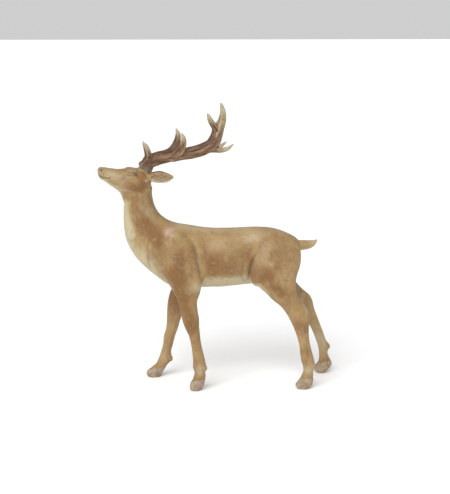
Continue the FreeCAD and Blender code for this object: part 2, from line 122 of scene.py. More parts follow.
# A level section of a leg: its height, its front and back x, its y and its half width.
SHOULDER = [
    (308, -116, -52, 22, 17),
    (280, -121, -42, 26, 19),
    (250, -118, -39, 31, 19),
    (230, -109, -41, 34, 18),
]
THIGH = [
    (318, 92, 158, 17, 19),
    (290, 76, 168, 24, 22),
    (262, 68, 166, 29, 23),
    (240, 69, 161, 33, 22),
]
LEGS = {
    "left_front_leg": (LEFT, SHOULDER + [
        (212, -99, -44, 36, 16.5),
        (193, -90.5, -50.5, 38, 14.5),
        (173, -86, -49.5, 39.5, 13.5),
        (156, -83, -47, 41, 12.5),
        (138, -77, -46.5, 42, 11.3),
        (120, -69, -45, 43, 10),
        (102, -64.5, -43, 44, 9),
        (84, -62, -39, 45, 8.8),
        (66, -60.5, -35, 46, 9.5),
        (49, -60.5, -32.5, 46, 10.5),
        (39, -57.5, -34.5, 46, 9.5),
        (30, -59, -33.5, 46, 10.8),
        (20, -64, -35, 46, 12.3),
        (9, -68, -38, 46, 13),
        (0, -67, -43, 46, 11.5),
    ]),
    "right_front_leg": (RIGHT, SHOULDER + [
        (212, -101, -47, 36, 16.5),
        (193, -107, -58, 38, 14.5),
        (173, -111.5, -68, 39.5, 13.5),
        (150, -113.5, -77, 41.5, 12),
        (129, -114, -85, 43, 10.8),
        (111, -116, -90, 44, 9.8),
        (92.5, -121, -96.5, 45, 9),
        (74, -123, -101, 46, 8.8),
        (55.5, -128, -105.5, 47, 9.3),
        (38, -134.5, -104, 47, 10.5),
        (28, -140, -112.5, 47, 10.2),
        (19, -152, -118.5, 47, 11.8),
        (8, -161, -125, 47, 13),
        (0, -158, -129, 47, 11.5),
    ]),
    "left_hind_leg": (LEFT, THIGH + [
        (222, 81, 159, 35.5, 20),
        (210, 94, 161, 37, 18.8),
        (196, 108, 166.5, 39, 17),
        (179, 128, 180.5, 42, 14),
        (164, 139.5, 187.5, 44, 12.2),
        (149, 147.5, 188, 46, 10.8),
        (134, 154.6, 187, 47.5, 9.8),
        (116, 161.3, 187, 49, 9),
        (98.5, 166, 189.6, 50, 8.6),
        (80.5, 168.3, 194, 51, 8.8),
        (62.5, 171, 199, 52, 9.8),
        (49, 175, 201.3, 52, 10.5),
        (37, 175.5, 197.3, 52, 9.8),
        (27, 171.3, 197.6, 52, 11),
        (17, 165, 197.5, 52, 12.5),
        (8, 159, 195.5, 52, 13),
        (0, 162, 191.5, 52, 11.5),
    ]),
    "right_hind_leg": (RIGHT, THIGH + [
        (222, 85, 163, 35, 20),
        (210, 101, 172, 36.5, 18.5),
        (196, 120, 185, 38, 16.5),
        (182, 141, 201, 40, 14),
        (168, 157, 207.5, 42, 12.2),
        (150, 172, 212.3, 44, 10.5),
        (131, 188, 219.4, 45.5, 9.6),
        (112.5, 201.8, 226.5, 46.5, 9),
        (94, 211, 233.6, 47, 8.6),
        (75, 218.2, 240.7, 47.5, 8.8),
        (60.8, 223, 249.5, 48, 10.5),
        (47, 225.5, 244.5, 48, 9.2),
        (37, 226, 247.5, 48, 10.3),
        (27, 224.5, 252.5, 48, 11.8),
        (17, 217.5, 254.4, 48, 13),
        (7, 215, 247, 48, 12.8),
        (0, 220, 241, 48, 10),
    ]),
}

# The head is turned a little to the stag's left about an upright line at the nape. The ears
# and antlers are given in the head's own frame, for the left side.
HEAD_TURN = math.radians(6)
NAPE_X = -150
EAR_SECTIONS = [
    ((-150, -23, 456.5), 7.2, 5.4),
    ((-142, -29, 457.7), 9.8, 5.4),
    ((-132, -36.5, 458.6), 11.9, 5.0),
    ((-121, -44.5, 459.4), 11.2, 4.2),
    ((-111.5, -51.5, 460.2), 7.8, 3.0),
    ((-104, -57, 461.3), 2.6, 1.4),
]
EAR_ROOT = [((-166, -11, 452), 8.5, 7), EAR_SECTIONS[0], ((-146, -26, 457), 7.6, 5.4)]
ANTLER_SEAT = np.array((-156, -14.5, 472.5))  # the middle of the pedicle's flat top
ANTLER_AXIS = np.array((0.42, -0.22, 0.88))
SOCKET_RADIUS = 5.0
SOCKET_DEPTH = 16.0
# The right ear and antler are nearly mirrors of the left. The ear hangs lower: by the first drop
# at its root, and by both drops together once it has run on as far as the bend. The crown leans
# back, in and down: each row gives a coordinate, where along it the lean starts and is full, and
# the lean. The brow and rear tines have a share of the left ones' length.
RIGHT_EAR_DROP = (4.0, 6.5)
RIGHT_EAR_BEND = 20.0
RIGHT_CROWN_LEAN = [
    (0, -80.0, -12.0, (7, 2, -5)),
    (2, 530.0, 610.0, (7, 6, -4)),
]
RIGHT_SHARES = {"brow_tine": 0.87, "rear_tine": 0.88}
ANTLER_BRANCHES = {
    "beam": [
        ((-154.8, -15.2, 475.1), 11.0),
        ((-150.0, -17.5, 483.0), 11.0),
        ((-139.5, -21.8, 489.6), 10.4),
        ((-126.8, -27, 493.8), 9.4),
        ((-111.6, -32, 496.9), 8.4),
        ((-95.5, -36.5, 499.0), 7.8),
        ((-79.4, -40.5, 501.0), 7.0),
        ((-63, -43.5, 503.2), 6.7),
        ((-46.8, -45.5, 508.0), 7.1),
        ((-30.5, -46.5, 514.8), 7.9),
        ((-18.2, -47, 522.4), 8.6),
        ((-11.8, -47.5, 532.6), 8.3),
        ((-7.6, -48, 545.0), 7.8),
        ((-4.4, -48.5, 557.5), 7.2),
        ((0.9, -49, 575.4), 6.0),
        ((1.0, -49.5, 593.7), 4.4),
        ((-3.2, -50, 609.2), 1.8),
    ],
    "front_prong": [
        ((-7.5, -48, 551.0), 5.9),
        ((-13.0, -48, 559.0), 5.6),
        ((-20.0, -47.5, 568.0), 5.0),
        ((-25.3, -47, 577.5), 3.8),
        ((-29.0, -46.5, 587.0), 1.8),
    ],
    "rear_tine": [
        ((-26.0, -46.5, 517.4), 6.2),
        ((-13.0, -46.5, 513.8), 5.9),
        ((-1.6, -46.5, 513.2), 5.3),
        ((10.6, -46.3, 516.2), 4.2),
        ((22.0, -46, 524.6), 1.6),
    ],
    "middle_tine": [
        ((-105.0, -34.5, 497.5), 7.2),
        ((-94.0, -37.8, 505.0), 8.0),
        ((-86.0, -41.0, 515.0), 8.0),
        ((-81.6, -43.3, 527.0), 6.8),
        ((-80.8, -45.4, 538.5), 5.0),
        ((-84.9, -47.0, 549.5), 1.7),
    ],
    "brow_tine": [
        ((-146.0, -19.5, 489.0), 7.2),
        ((-148.0, -25.5, 499.5), 6.0),
        ((-151.2, -32.0, 511.0), 4.9),
        ((-154.3, -37.0, 520.5), 3.8),
        ((-157.2, -40.0, 528.5), 1.8),
    ],
}

# ---------------------------------------------------------------- points and noise


def spline(rows, steps):
    """Rows of numbers with extra rows between them, on a smooth curve through all of them."""
    rows = np.array(rows, float)
    gaps = np.linalg.norm(np.diff(rows[:, :3], axis=0), axis=1)
    place = np.concatenate([[0], np.cumsum(gaps)])
    slopes = np.gradient(rows, place, axis=0)
    out = []
    for i, gap in enumerate(gaps):
        t = np.linspace(0, 1, steps, endpoint=False)[:, None]
        start, end = rows[i], rows[i + 1]
        out.append(
            (2 * t**3 - 3 * t**2 + 1) * start + (t**3 - 2 * t**2 + t) * gap * slopes[i]
            + (3 * t**2 - 2 * t**3) * end + (t**3 - t**2) * gap * slopes[i + 1]
        )
    return np.vstack(out + [rows[-1:]])


def turned(points, back=False):
    """Points of the head's own frame in the stag's, or the other way round."""
    angle = -HEAD_TURN if back else HEAD_TURN
    c, s = math.cos(angle), math.sin(angle)
    points = np.asarray(points, float)
    x, y = points[..., 0] - NAPE_X, points[..., 1]
    return np.stack([NAPE_X + c * x - s * y, s * x + c * y, points[..., 2]], -1)


def turned_direction(vector):
    """A direction of the head's own frame in the stag's."""
    return turned(np.asarray(vector) + (NAPE_X, 0, 0)) - (NAPE_X, 0, 0)


NOISE_TABLE = rng.random((32, 32, 32)).astype(np.float32)


def noise(points, size, seed=0):
    """Smooth noise from -1 to 1 with lumps about that size."""
    p = points / size + seed * 7.31
    cell = np.floor(p).astype(int)
    f = p - cell
    f = f * f * (3 - 2 * f)
    total = np.zeros(len(points))
    for corner in np.ndindex(2, 2, 2):
        weight = np.prod(np.where(corner, f, 1 - f), axis=1)
        index = (cell + corner) % 32
        total += weight * NOISE_TABLE[index[:, 0], index[:, 1], index[:, 2]]
    return total * 2 - 1


def fade(value, low, high):
    """0 below low and 1 above high, or the other way round, with a soft change between."""
    t = np.clip((value - low) / (high - low), 0, 1)
    return t * t * (3 - 2 * t)


# ---------------------------------------------------------------- forms


def ring_form(rings):
    """A closed mesh through rings of points: its points, four-sided and three-sided faces."""
    count, around, _ = rings.shape
    points = rings.reshape(-1, 3)
    i, j = np.meshgrid(np.arange(count - 1), np.arange(around), indexing="ij")
    a = i * around + j
    b = i * around + (j + 1) % around
    quads = np.stack([a, b, b + around, a + around], -1).reshape(-1, 4)
    ends = [rings[0].mean(0), rings[-1].mean(0)]
    first, last = len(points), len(points) + 1
    k = np.arange(around)
    after = (k + 1) % around
    base = (count - 1) * around
    start_cap = np.stack([np.full(around, first), after, k], -1)
    end_cap = np.stack([np.full(around, last), base + k, base + after], -1)
    return np.vstack([points, ends]), quads, np.vstack([start_cap, end_cap])


def ellipse_rings(centres, longs, wides, fullness=2.0):
    """Rings of points on ellipses given by their two half axes, fuller above 2."""
    angle = np.linspace(0, 2 * math.pi, RING, endpoint=False)
    c, s = np.cos(angle), np.sin(angle)
    c = np.sign(c) * np.abs(c) ** (2 / fullness)
    s = np.sign(s) * np.abs(s) ** (2 / fullness)
    return centres[:, None] + longs[:, None] * c[None, :, None] + wides[:, None] * s[None, :, None]


def rib_form(ribs, head=False, fullness=2.0):
    """A form lofted through ribs, turned with the head if it belongs to it."""
    rows = [(*low, *high, wide) for low, high, wide in ribs]
    low_x, low_z, high_x, high_z, wide = spline(rows, 8).T
    zero = np.zeros_like(wide)
    low = np.stack([low_x, zero, low_z], -1)
    high = np.stack([high_x, zero, high_z], -1)
    rings = ellipse_rings((low + high) / 2, (high - low) / 2, np.stack([zero, wide, zero], -1), fullness)
    return ring_form(turned(rings) if head else rings)


def leg_form(side, sections):
    """A form lofted through the level sections of a leg."""
    z, front, back, y, wide = spline(sections, 6).T
    zero = np.zeros_like(z)
    centres = np.stack([(front + back) / 2, side * y, z], -1)
    longs = np.stack([(back - front) / 2, zero, zero], -1)
    return ring_form(ellipse_rings(centres, longs, np.stack([zero, wide, zero], -1)))


def frames_along(points):
    """For each point of a line, its direction and two directions square to it, without twist."""
    run = np.gradient(points, axis=0)
    run /= np.linalg.norm(run, axis=1, keepdims=True)
    side = np.cross(run[0], (0.0, 1.0, 0.0))
    sides = []
    for direction in run:
        side = side - direction * (side @ direction)
        side = side / np.linalg.norm(side)
        sides.append(side)
    sides = np.array(sides)
    return run, sides, np.cross(run, sides)


def branch_form(sections, flat):
    """A tapering branch with a round tip, a little flatter across than along one side."""
    rows = spline([(*point, radius) for point, radius in sections], 6)
    points, radii = rows[:, :3], rows[:, 3:4]
    run, first, second = frames_along(points)
    tip = points[-1:] + run[-1:] * radii[-1:] * 0.9
    points = np.vstack([points, tip])
    radii = np.vstack([radii, radii[-1:] * 0.35])
    first, second = np.vstack([first, first[-1:]]), np.vstack([second, second[-1:]])
    return ring_form(ellipse_rings(points, first * radii, second * radii * flat))


def ear_sections(sections, side):
    """The sections of the ear on that side, still in the left ear's frame."""
    if side == LEFT:
        return sections
    foot, run, _, _ = ear_frame()
    out = []
    for point, high, thick in sections:
        along = (np.array(point) - foot) @ run
        drop = RIGHT_EAR_DROP[0] + RIGHT_EAR_DROP[1] * float(fade(along, 0, RIGHT_EAR_BEND))
        out.append(((point[0], point[1], point[2] - drop), high, thick))
    return out


def antler_sections(branch, side):
    """The sections of a branch of the antler on that side, still in the left antler's frame."""
    sections = ANTLER_BRANCHES[branch]
    if side == LEFT:
        return sections
    root = np.array(sections[0][0])
    out = []
    for point, radius in sections:
        point = root + (np.array(point) - root) * RIGHT_SHARES.get(branch, 1)
        lean = sum(np.array(shift) * fade(point[axis], low, high)
                   for axis, low, high, shift in RIGHT_CROWN_LEAN)
        out.append((tuple(point + lean), radius))
    return out


def ear_frame():
    """The foot of the left ear, its run, its upright direction and the one out of its hollow."""
    foot = np.array(EAR_SECTIONS[0][0], float)
    run = np.subtract(EAR_SECTIONS[-1][0], foot)
    run = run / np.linalg.norm(run)
    up = np.array((0, 0, 1.0)) - run * run[2]
    up /= np.linalg.norm(up)
    return foot, run, up, np.cross(run, up)


def leaf_form(sections):
    """An ear or its root: upright ellipses across the ear's run."""
    _, _, up, across = ear_frame()
    rows = spline([(*point, high, thick) for point, high, thick in sections], 8)
    return ring_form(ellipse_rings(rows[:, :3], rows[:, 3:4] * up, rows[:, 4:5] * across))


# ---------------------------------------------------------------- clay


class Clay:
    """A block of voxels that holds the distance to a surface, in millimetres."""

    def __init__(self, low, high, voxel):
        self.voxel = voxel
        self.start = np.floor(np.array(low) / voxel).astype(int)
        count = np.ceil(np.array(high) / voxel).astype(int) - self.start + 1
        self.end = self.start + count
        self.distance = np.full(count, BAND * voxel, np.float32)
        self.transform = vdb.createLinearTransform(voxelSize=voxel)

    def block(self, low, high):
        """The voxels round a box, as far as the clay reaches: first, past the last, and slices."""
        first = np.floor(np.asarray(low) / self.voxel).astype(int) - BAND - 1
        last = np.ceil(np.asarray(high) / self.voxel).astype(int) + BAND + 2
        first, last = np.clip(first, self.start, self.end), np.clip(last, self.start, self.end)
        where = tuple(slice(a, b) for a, b in zip(first - self.start, last - self.start))
        return first, last, where

    def measure(self, form):
        """The distance to a closed mesh, in the block round it."""
        points, quads, triangles = form
        first, last, where = self.block(points.min(0), points.max(0))
        if (first == last).any():
            return where, self.distance[where]
        grid = vdb.FloatGrid.createLevelSetFromPolygons(
            points.astype(np.float32), triangles=triangles.astype(np.uint32),
            quads=quads.astype(np.uint32), transform=self.transform, halfWidth=BAND,
        )
        values = np.empty(last - first, np.float32)
        grid.copyToArray(values, ijk=tuple(int(v) for v in first))
        return where, values

    def measure_ball(self, centre, radii, tilt=0.0):
        """The distance to an ellipsoid, about, tilted in the side view (degrees, nose down)."""
        centre, radii = np.asarray(centre, float), np.asarray(radii, float)
        reach = radii.max()
        first, last, where = self.block(centre - reach, centre + reach)
        axes = [np.arange(a, b) * self.voxel - c for a, b, c in zip(first, last, centre)]
        x, y, z = np.meshgrid(*axes, indexing="ij", sparse=True)
        c, s = math.cos(math.radians(tilt)), math.sin(math.radians(tilt))
        u, w = c * x + s * z, c * z - s * x
        near = np.sqrt((u / radii[0]) ** 2 + (y / radii[1]) ** 2 + (w / radii[2]) ** 2)
        steep = np.sqrt((u / radii[0] ** 2) ** 2 + (y / radii[1] ** 2) ** 2 + (w / radii[2] ** 2) ** 2)
        values = near * (near - 1) / np.maximum(steep, 1e-6)
        limit = BAND * self.voxel
        return where, np.clip(values, -limit, limit).astype(np.float32)

    def add(self, measured, blend):
        """Melts a form into the clay with a fillet about as wide as blend."""
        where, values = measured
        old = self.distance[where]
        share = np.clip(0.5 + 0.5 * (values - old) / blend, 0, 1)
        self.distance[where] = values + (old - values) * share - blend * share * (1 - share)

    def carve(self, measured, blend):
        """Takes a form out of the clay with a rounded edge."""
        where, values = measured
        old = self.distance[where]
        share = np.clip(0.5 - 0.5 * (old + values) / blend, 0, 1)
        self.distance[where] = old + (-values - old) * share + blend * share * (1 - share)

    def skin(self):
        """The points and four-sided faces of the surface, facing outwards."""
        grid = vdb.FloatGrid(BAND * self.voxel)
        grid.transform = self.transform
        grid.copyFromArray(self.distance, ijk=tuple(int(v) for v in self.start), tolerance=1e-4)
        points, quads = grid.convertToQuads(isovalue=0)
        points, quads = points.astype(float), quads.astype(int)
        a, b, c, d = (points[quads[:, k]] for k in range(4))
        volume = np.einsum("ij,ij->i", a, np.cross(b, c) + np.cross(c, d)).sum()
        return Skin(points, quads if volume > 0 else quads[:, ::-1])


class Skin:
    """A mesh of four-sided faces under the modelling tools."""

    def __init__(self, points, quads):
        self.points = points
        self.quads = quads
        self.paint = {}

    def normals(self):
        """The outward direction at every point."""
        p = self.points
        a, b, c, d = (p[self.quads[:, k]] for k in range(4))
        facing = np.cross(c - a, d - b)
        total = np.zeros_like(p)
        for k in range(4):
            np.add.at(total, self.quads[:, k], facing)
        return total / np.maximum(np.linalg.norm(total, axis=1, keepdims=True), 1e-12)

    def push(self, amount):
        """Moves the points along their normals."""
        self.points = self.points + self.normals() * amount[:, None]


# ---------------------------------------------------------------- modelling the body


def mirrored(form):
    """A form on the other side of the stag, its faces still outwards."""
    points, quads, triangles = form
    return points * (1, -1, 1), quads[:, ::-1], triangles[:, ::-1]


# Muscles and bones under the skin: centre (for the left side), half sizes, tilt and blend.
MUSCLES = [
    ((-98, -33, 300), (26, 13, 42), -12, 12),  # shoulder blade
    ((-92, -38, 258), (24, 15, 26), 20, 12),  # upper arm
    ((-50, -40, 236), (9, 9, 13), -20, 9),  # elbow
    ((-146, -20, 296), (20, 18, 26), -35, 12),  # point of the chest
    ((98, -25, 330), (15, 10, 8), 0, 12),  # hip bone
    ((116, -35, 282), (38, 18, 36), 35, 12),  # thigh
    ((80, -40, 245), (11, 12, 20), -30, 10),  # stifle
    ((150, -26, 286), (16, 15, 32), 8, 12),  # buttock
    ((10, -30, 275), (60, 13, 34), 0, 14),  # ribs
]
# The same on the head, in its own frame.
FACE = [
    ((-186, -13, 443), (20, 11, 14), -28, 7),  # cheek
    ((-185, -15.5, 470), (12, 6.5, 4.2), -6, 4),  # brow
    ((-181.5, -18.6, 462.3), (8.6, 5.2, 5.6), -8, 1.6),  # eyeball under its lids
    ((-196, -12.5, 456), (14, 6, 3.6), 22, 5),  # cheekbone
    ((-247.5, -5.2, 470.7), (6.5, 5.2, 6.0), 10, 2.5),  # nose wing
    ((-240.5, -4.5, 458.6), (9.5, 5.5, 3.4), 26, 2.5),  # lower lip
]


def melt_body(clay):
    """Melts the trunk, neck, head, tail and legs together, as far as the block of clay holds them."""
    clay.add(clay.measure(rib_form(TORSO_RIBS + NECK_RIBS, fullness=2.1)), 1)
    clay.add(clay.measure(rib_form(HEAD_RIBS, head=True)), 8)
    clay.add(clay.measure(rib_form(TAIL_RIBS)), 4)
    for side, sections in LEGS.values():
        clay.add(clay.measure(leg_form(side, sections)), 9)
    for (x, y, z), radii, tilt, blend in MUSCLES:
        for side in (LEFT, RIGHT):
            clay.add(clay.measure_ball((x, -side * y, z), radii, tilt), blend)
    for (x, y, z), radii, tilt, blend in FACE:
        for side in (LEFT, RIGHT):
            clay.add(clay.measure_ball(turned((x, -side * y, z)), radii, tilt), blend)
    for side in (LEFT, RIGHT):
        root = leaf_form(ear_sections(EAR_ROOT, side))
        root = root if side == LEFT else mirrored(root)
        clay.add(clay.measure((turned(root[0]), *root[1:])), 5)
        clay.add(clay.measure(pedicle_form(side)), 5)
        clay.carve(clay.measure_ball(turned((-246.5, side * 9.5, 472.2)), (2.6, 2.4, 1.7), 30), 1.2)
    for side, x, y, z in DEWCLAWS:
        for toe in (-1, 1):
            clay.add(clay.measure_ball((x + 1.5, side * y + toe * 4.6, z), (3.8, 3.2, 5.0), -15), 2)


def axes_of(axis):
    """An axis made 1 long, and two directions square to it and to each other."""
    axis = axis / np.linalg.norm(axis)
    first = np.cross(axis, (0.0, 1.0, 0.0))
    first /= np.linalg.norm(first)
    return axis, first, np.cross(axis, first)


def seat_axes(side):
    """The antler's seat on that side: its middle, its axis and two directions across it."""
    mirror = np.array((1, -side, 1))
    return turned(ANTLER_SEAT * mirror), *axes_of(turned_direction(ANTLER_AXIS * mirror))


def pedicle_form(side):
    """The stump of bone that carries the antler on that side."""
    centre, axis, first, second = seat_axes(side)
    heights = np.array([-22, -14, -6, 0, 3.0])
    radii = np.array([8.5, 11.2, 11.6, 11.5, 11.4])[:, None]
    return ring_form(ellipse_rings(centre + axis * heights[:, None], first * radii, second * radii))


# The dewclaws behind each fetlock: side, then x, y and z of the middle of the pair.
DEWCLAWS = [
    (LEFT, -36, 46, 48),
    (RIGHT, -107.5, 47, 40),
    (LEFT, 196, 52, 49),
    (RIGHT, 244, 48, 61),
]


# ---------------------------------------------------------------- tools


def line_reach(flat, line):
    """The distance to a line, and how far along it the nearest point is, from 0 to 1."""
    lengths = np.linalg.norm(np.diff(line, axis=0), axis=1)
    starts = np.concatenate([[0], np.cumsum(lengths)])
    gap = np.full(len(flat), np.inf)
    along = np.zeros(len(flat))
    for i, length in enumerate(lengths):
        step = (line[i + 1] - line[i]) / length
        t = np.clip((flat - line[i]) @ step, 0, length)
        here = np.linalg.norm(flat - line[i] - t[:, None] * step, axis=1)
        along = np.where(here < gap, starts[i] + t, along)
        gap = np.minimum(gap, here)
    return gap, along / starts[-1]


def stroke(flat, line, width, taper=0.25):
    """How strongly each point lies under a drawn line, fading to nothing at its ends."""
    line = spline(line, 4)
    near = np.all((flat > line.min(0) - 3 * width) & (flat < line.max(0) + 3 * width), axis=1)
    out = np.zeros(len(flat))
    gap, along = line_reach(flat[near], line)
    ends = fade(np.minimum(along, 1 - along), -0.02, taper)
    out[near] = np.exp(-((gap / width) ** 2)) * ends
    return out


def patch(flat, x, z, long, short, tilt):
    """A soft tilted oval in the side view, 1 in its middle."""
    c, s = math.cos(math.radians(tilt)), math.sin(math.radians(tilt))
    u = (c * (flat[:, 0] - x) + s * (flat[:, 1] - z)) / long
    w = (c * (flat[:, 1] - z) - s * (flat[:, 0] - x)) / short
    return np.exp(-(u * u + w * w))


# Lines pressed or raised in the side view, the same on both sides: line, width, depth, and darkness, which
# is dark line paint and painted shade in the fold.
BODY_LINES = [
    ([(-64, 336), (-57, 314), (-52, 294), (-50, 276), (-46, 260), (-42, 245), (-38, 231)], 4.2, 2.4, 0.72),
    ([(-147, 336), (-152, 320), (-154, 297), (-151, 276), (-144, 258)], 2.6, 1.3, 0.55),
    ([(-120, 330), (-128, 306), (-126, 282), (-116, 262)], 4.0, 0.9, 0.3),
    ([(82, 303), (71, 292), (66, 279), (62, 265), (60, 253), (56, 238), (50, 230)], 3.6, 2.4, 0.8),
    ([(50, 284), (46, 266), (44, 250), (48, 238), (58, 232)], 3.2, 1.1, 0.45),
    ([(103, 304), (105, 293), (104, 284)], 1.8, 0.9, 0.8),
    ([(-84, 316), (-80, 296), (-84, 276)], 5.0, 0.8, 0.2),
    ([(-20, 262), (-16, 282), (-20, 304)], 4.5, 0.6, 0.1),
    ([(4, 258), (8, 280), (4, 304)], 4.5, 0.6, 0.1),
    ([(28, 262), (32, 282), (28, 304)], 4.5, 0.5, 0.1),
    ([(150, 262), (138, 236), (142, 212), (158, 192)], 4.0, 1.1, 0.25),
    ([(128, 262), (118, 236), (122, 214)], 6.0, -0.8, 0.0),
    ([(-66, 226), (-70, 205), (-66, 180)], 4.5, 0.8, 0.2),
    ([(-184, 396), (-180, 380), (-182, 366)], 1.9, 0.7, 0.35),
    ([(-176, 374), (-171, 354), (-175, 336)], 2.3, 0.9, 0.4),
    ([(-165, 350), (-159, 332), (-162, 316)], 2.3, 0.9, 0.4),
    ([(-172, 322), (-168, 304), (-171, 290)], 2.0, 0.8, 0.35),
    ([(112, 297), (118, 291), (127, 293)], 1.7, 0.8, 0.4),
    ([(106, 285), (114, 278), (124, 281)], 1.7, 0.8, 0.4),
    ([(104, 271), (112, 264), (122, 268)], 1.7, 0.8, 0.4),
    ([(120, 261), (129, 254), (139, 258)], 1.7, 0.8, 0.4),
    ([(127, 277), (136, 270), (146, 275)], 1.7, 0.8, 0.4),
    ([(132, 243), (141, 237), (150, 241)], 1.7, 0.8, 0.4),
]
# Lines on one leg alone, such as the grooves beside its tendons: side, line, width, depth, and darkness,
# which is painted shade in the groove.
LEG_LINES = [
    (LEFT, [(-48, 140), (-46, 105), (-42, 70)], 2.2, 0.9, 0.25),
    (LEFT, [(178, 158), (180, 125), (185, 85), (190, 60)], 2.2, 1.0, 0.25),
    (RIGHT, [(-86, 140), (-96, 110), (-105, 75)], 2.2, 0.9, 0.25),
    (RIGHT, [(202, 150), (216, 115), (233, 75)], 2.2, 1.0, 0.25),
    (LEFT, [(146, 176), (162, 182), (180, 172)], 3.5, -0.8, 0.0),
    (RIGHT, [(165, 186), (180, 192), (200, 184)], 3.5, -0.8, 0.0),
]
# Lines on the head, in its own frame: dark painted lines at the lids, mouth and nostril, with painted shade
# in the creases.
HEAD_LINES = [
    ([(-195, 460.5), (-190.5, 464.4), (-184, 466.2), (-177, 465), (-172.5, 461.5)], 1.0, 0.9, 0.6),
    ([(-194, 460), (-188, 461.8), (-181.5, 462.4), (-174.5, 461.4)], 0.9, 0.9, 0.95),
    ([(-192, 457), (-185, 455.4), (-177, 456)], 1.5, 0.5, 0.15),
    ([(-198, 456.5), (-206, 452), (-212, 449)], 1.7, 0.5, 0.25),
    # The mouth line: dark paint, with painted shade in its crease.
    ([(-256, 463), (-250, 459.5), (-242, 457.0), (-234, 455.4), (-227.5, 457.4)], 1.25, 1.3, 1.5),
    ([(-253.5, 476.5), (-250.5, 474.0), (-247.2, 472.6), (-245.6, 470.0)], 1.05, 0.8, 1.2),
    ([(-205, 431), (-194, 425), (-182, 424), (-170, 430)], 4.0, 0.6, 0.25),
    ([(-168, 470), (-160, 464), (-156, 452)], 2.6, 0.6, 0.7),
    ([(-183, 468), (-175, 463.5), (-168, 457)], 4.2, 0.2, 0.4),
]


# The cleft and the upper edge of each hoof: side, middle x, y, height of the edge and its lean.
CLEFTS = [
    (LEFT, -51, 46, 24, 0.10),
    (RIGHT, -141, 47, 21, 0.16),
    (LEFT, 180, 52, 24, 0.10),
    (RIGHT, 234, 48, 25, 0.16),
]


def above_hoof(points, x, top, lean):
    """How far the points are above the sloping upper edge of a hoof."""
    return points[:, 2] - (top + (points[:, 0] - x) * lean)


def sculpt(skin, hair):
    """Presses the folds, the features and the hair into a skin, and keeps how dark they are painted: dark
    line paint and painted shade in the folds.
    """
    points = skin.points
    normals = skin.normals()
    side = np.sign(points[:, 1])
    head_points = turned(points, back=True)
    flat, head_flat = points[:, [0, 2]], head_points[:, [0, 2]]
    facing = fade(np.abs(normals[:, 1]), 0.1, 0.5)
    depth = np.zeros(len(points))
    line_paint_and_fold_shade = np.zeros(len(points))
    on_head = fade(points[:, 2], 412, 425)  # 1 on the head
    face = fade(np.abs(normals[:, 1]), 0.05, 0.3) * on_head
    marks = [(stroke(flat, line, width) * facing, deep, dark) for line, width, deep, dark in BODY_LINES]
    marks += [(stroke(flat, line, width) * facing * (side == leg_side), deep, dark)
              for leg_side, line, width, deep, dark in LEG_LINES]
    marks += [(stroke(head_flat, line, width, 0.15) * face, deep, dark)
              for line, width, deep, dark in HEAD_LINES]
    for mark, deep, dark in marks:
        depth -= mark * deep
        line_paint_and_fold_shade += mark * dark
    # Painted shade in each hoof's cleft and along the groove at its upper edge.
    for leg_side, x, y, top, lean in CLEFTS:
        here = (side == leg_side) * (np.abs(points[:, 0] - x) < 34)
        front = here * fade(points[:, 2], top, top - 5) * fade(normals[:, 0], -0.1, -0.5)
        cleft = np.exp(-(((points[:, 1] - leg_side * y) / 1.7) ** 2)) * front
        edge = np.exp(-((above_hoof(points, x, top, lean) / 1.8) ** 2)) * here
        depth -= cleft * 2.4 + edge * 0.7
        line_paint_and_fold_shade += cleft * 0.8 + edge * 0.35
    strand = hair.height(flat, side) * fade(np.abs(normals[:, 1]), 0.25, 0.6)
    furry = fade(points[:, 2], 30, 60) * (1 - 0.75 * fade(head_points[:, 0], -205, -225) * on_head)
    depth += strand * furry * 0.34
    depth += noise(points, 9, 1) * 0.18 + noise(points, 22, 2) * 0.3 * fade(points[:, 2], 60, 200)
    skin.push(depth)
    skin.paint["line_paint_and_fold_shade"] = np.clip(line_paint_and_fold_shade, 0, 1)
    skin.paint["strand"] = strand
    return skin


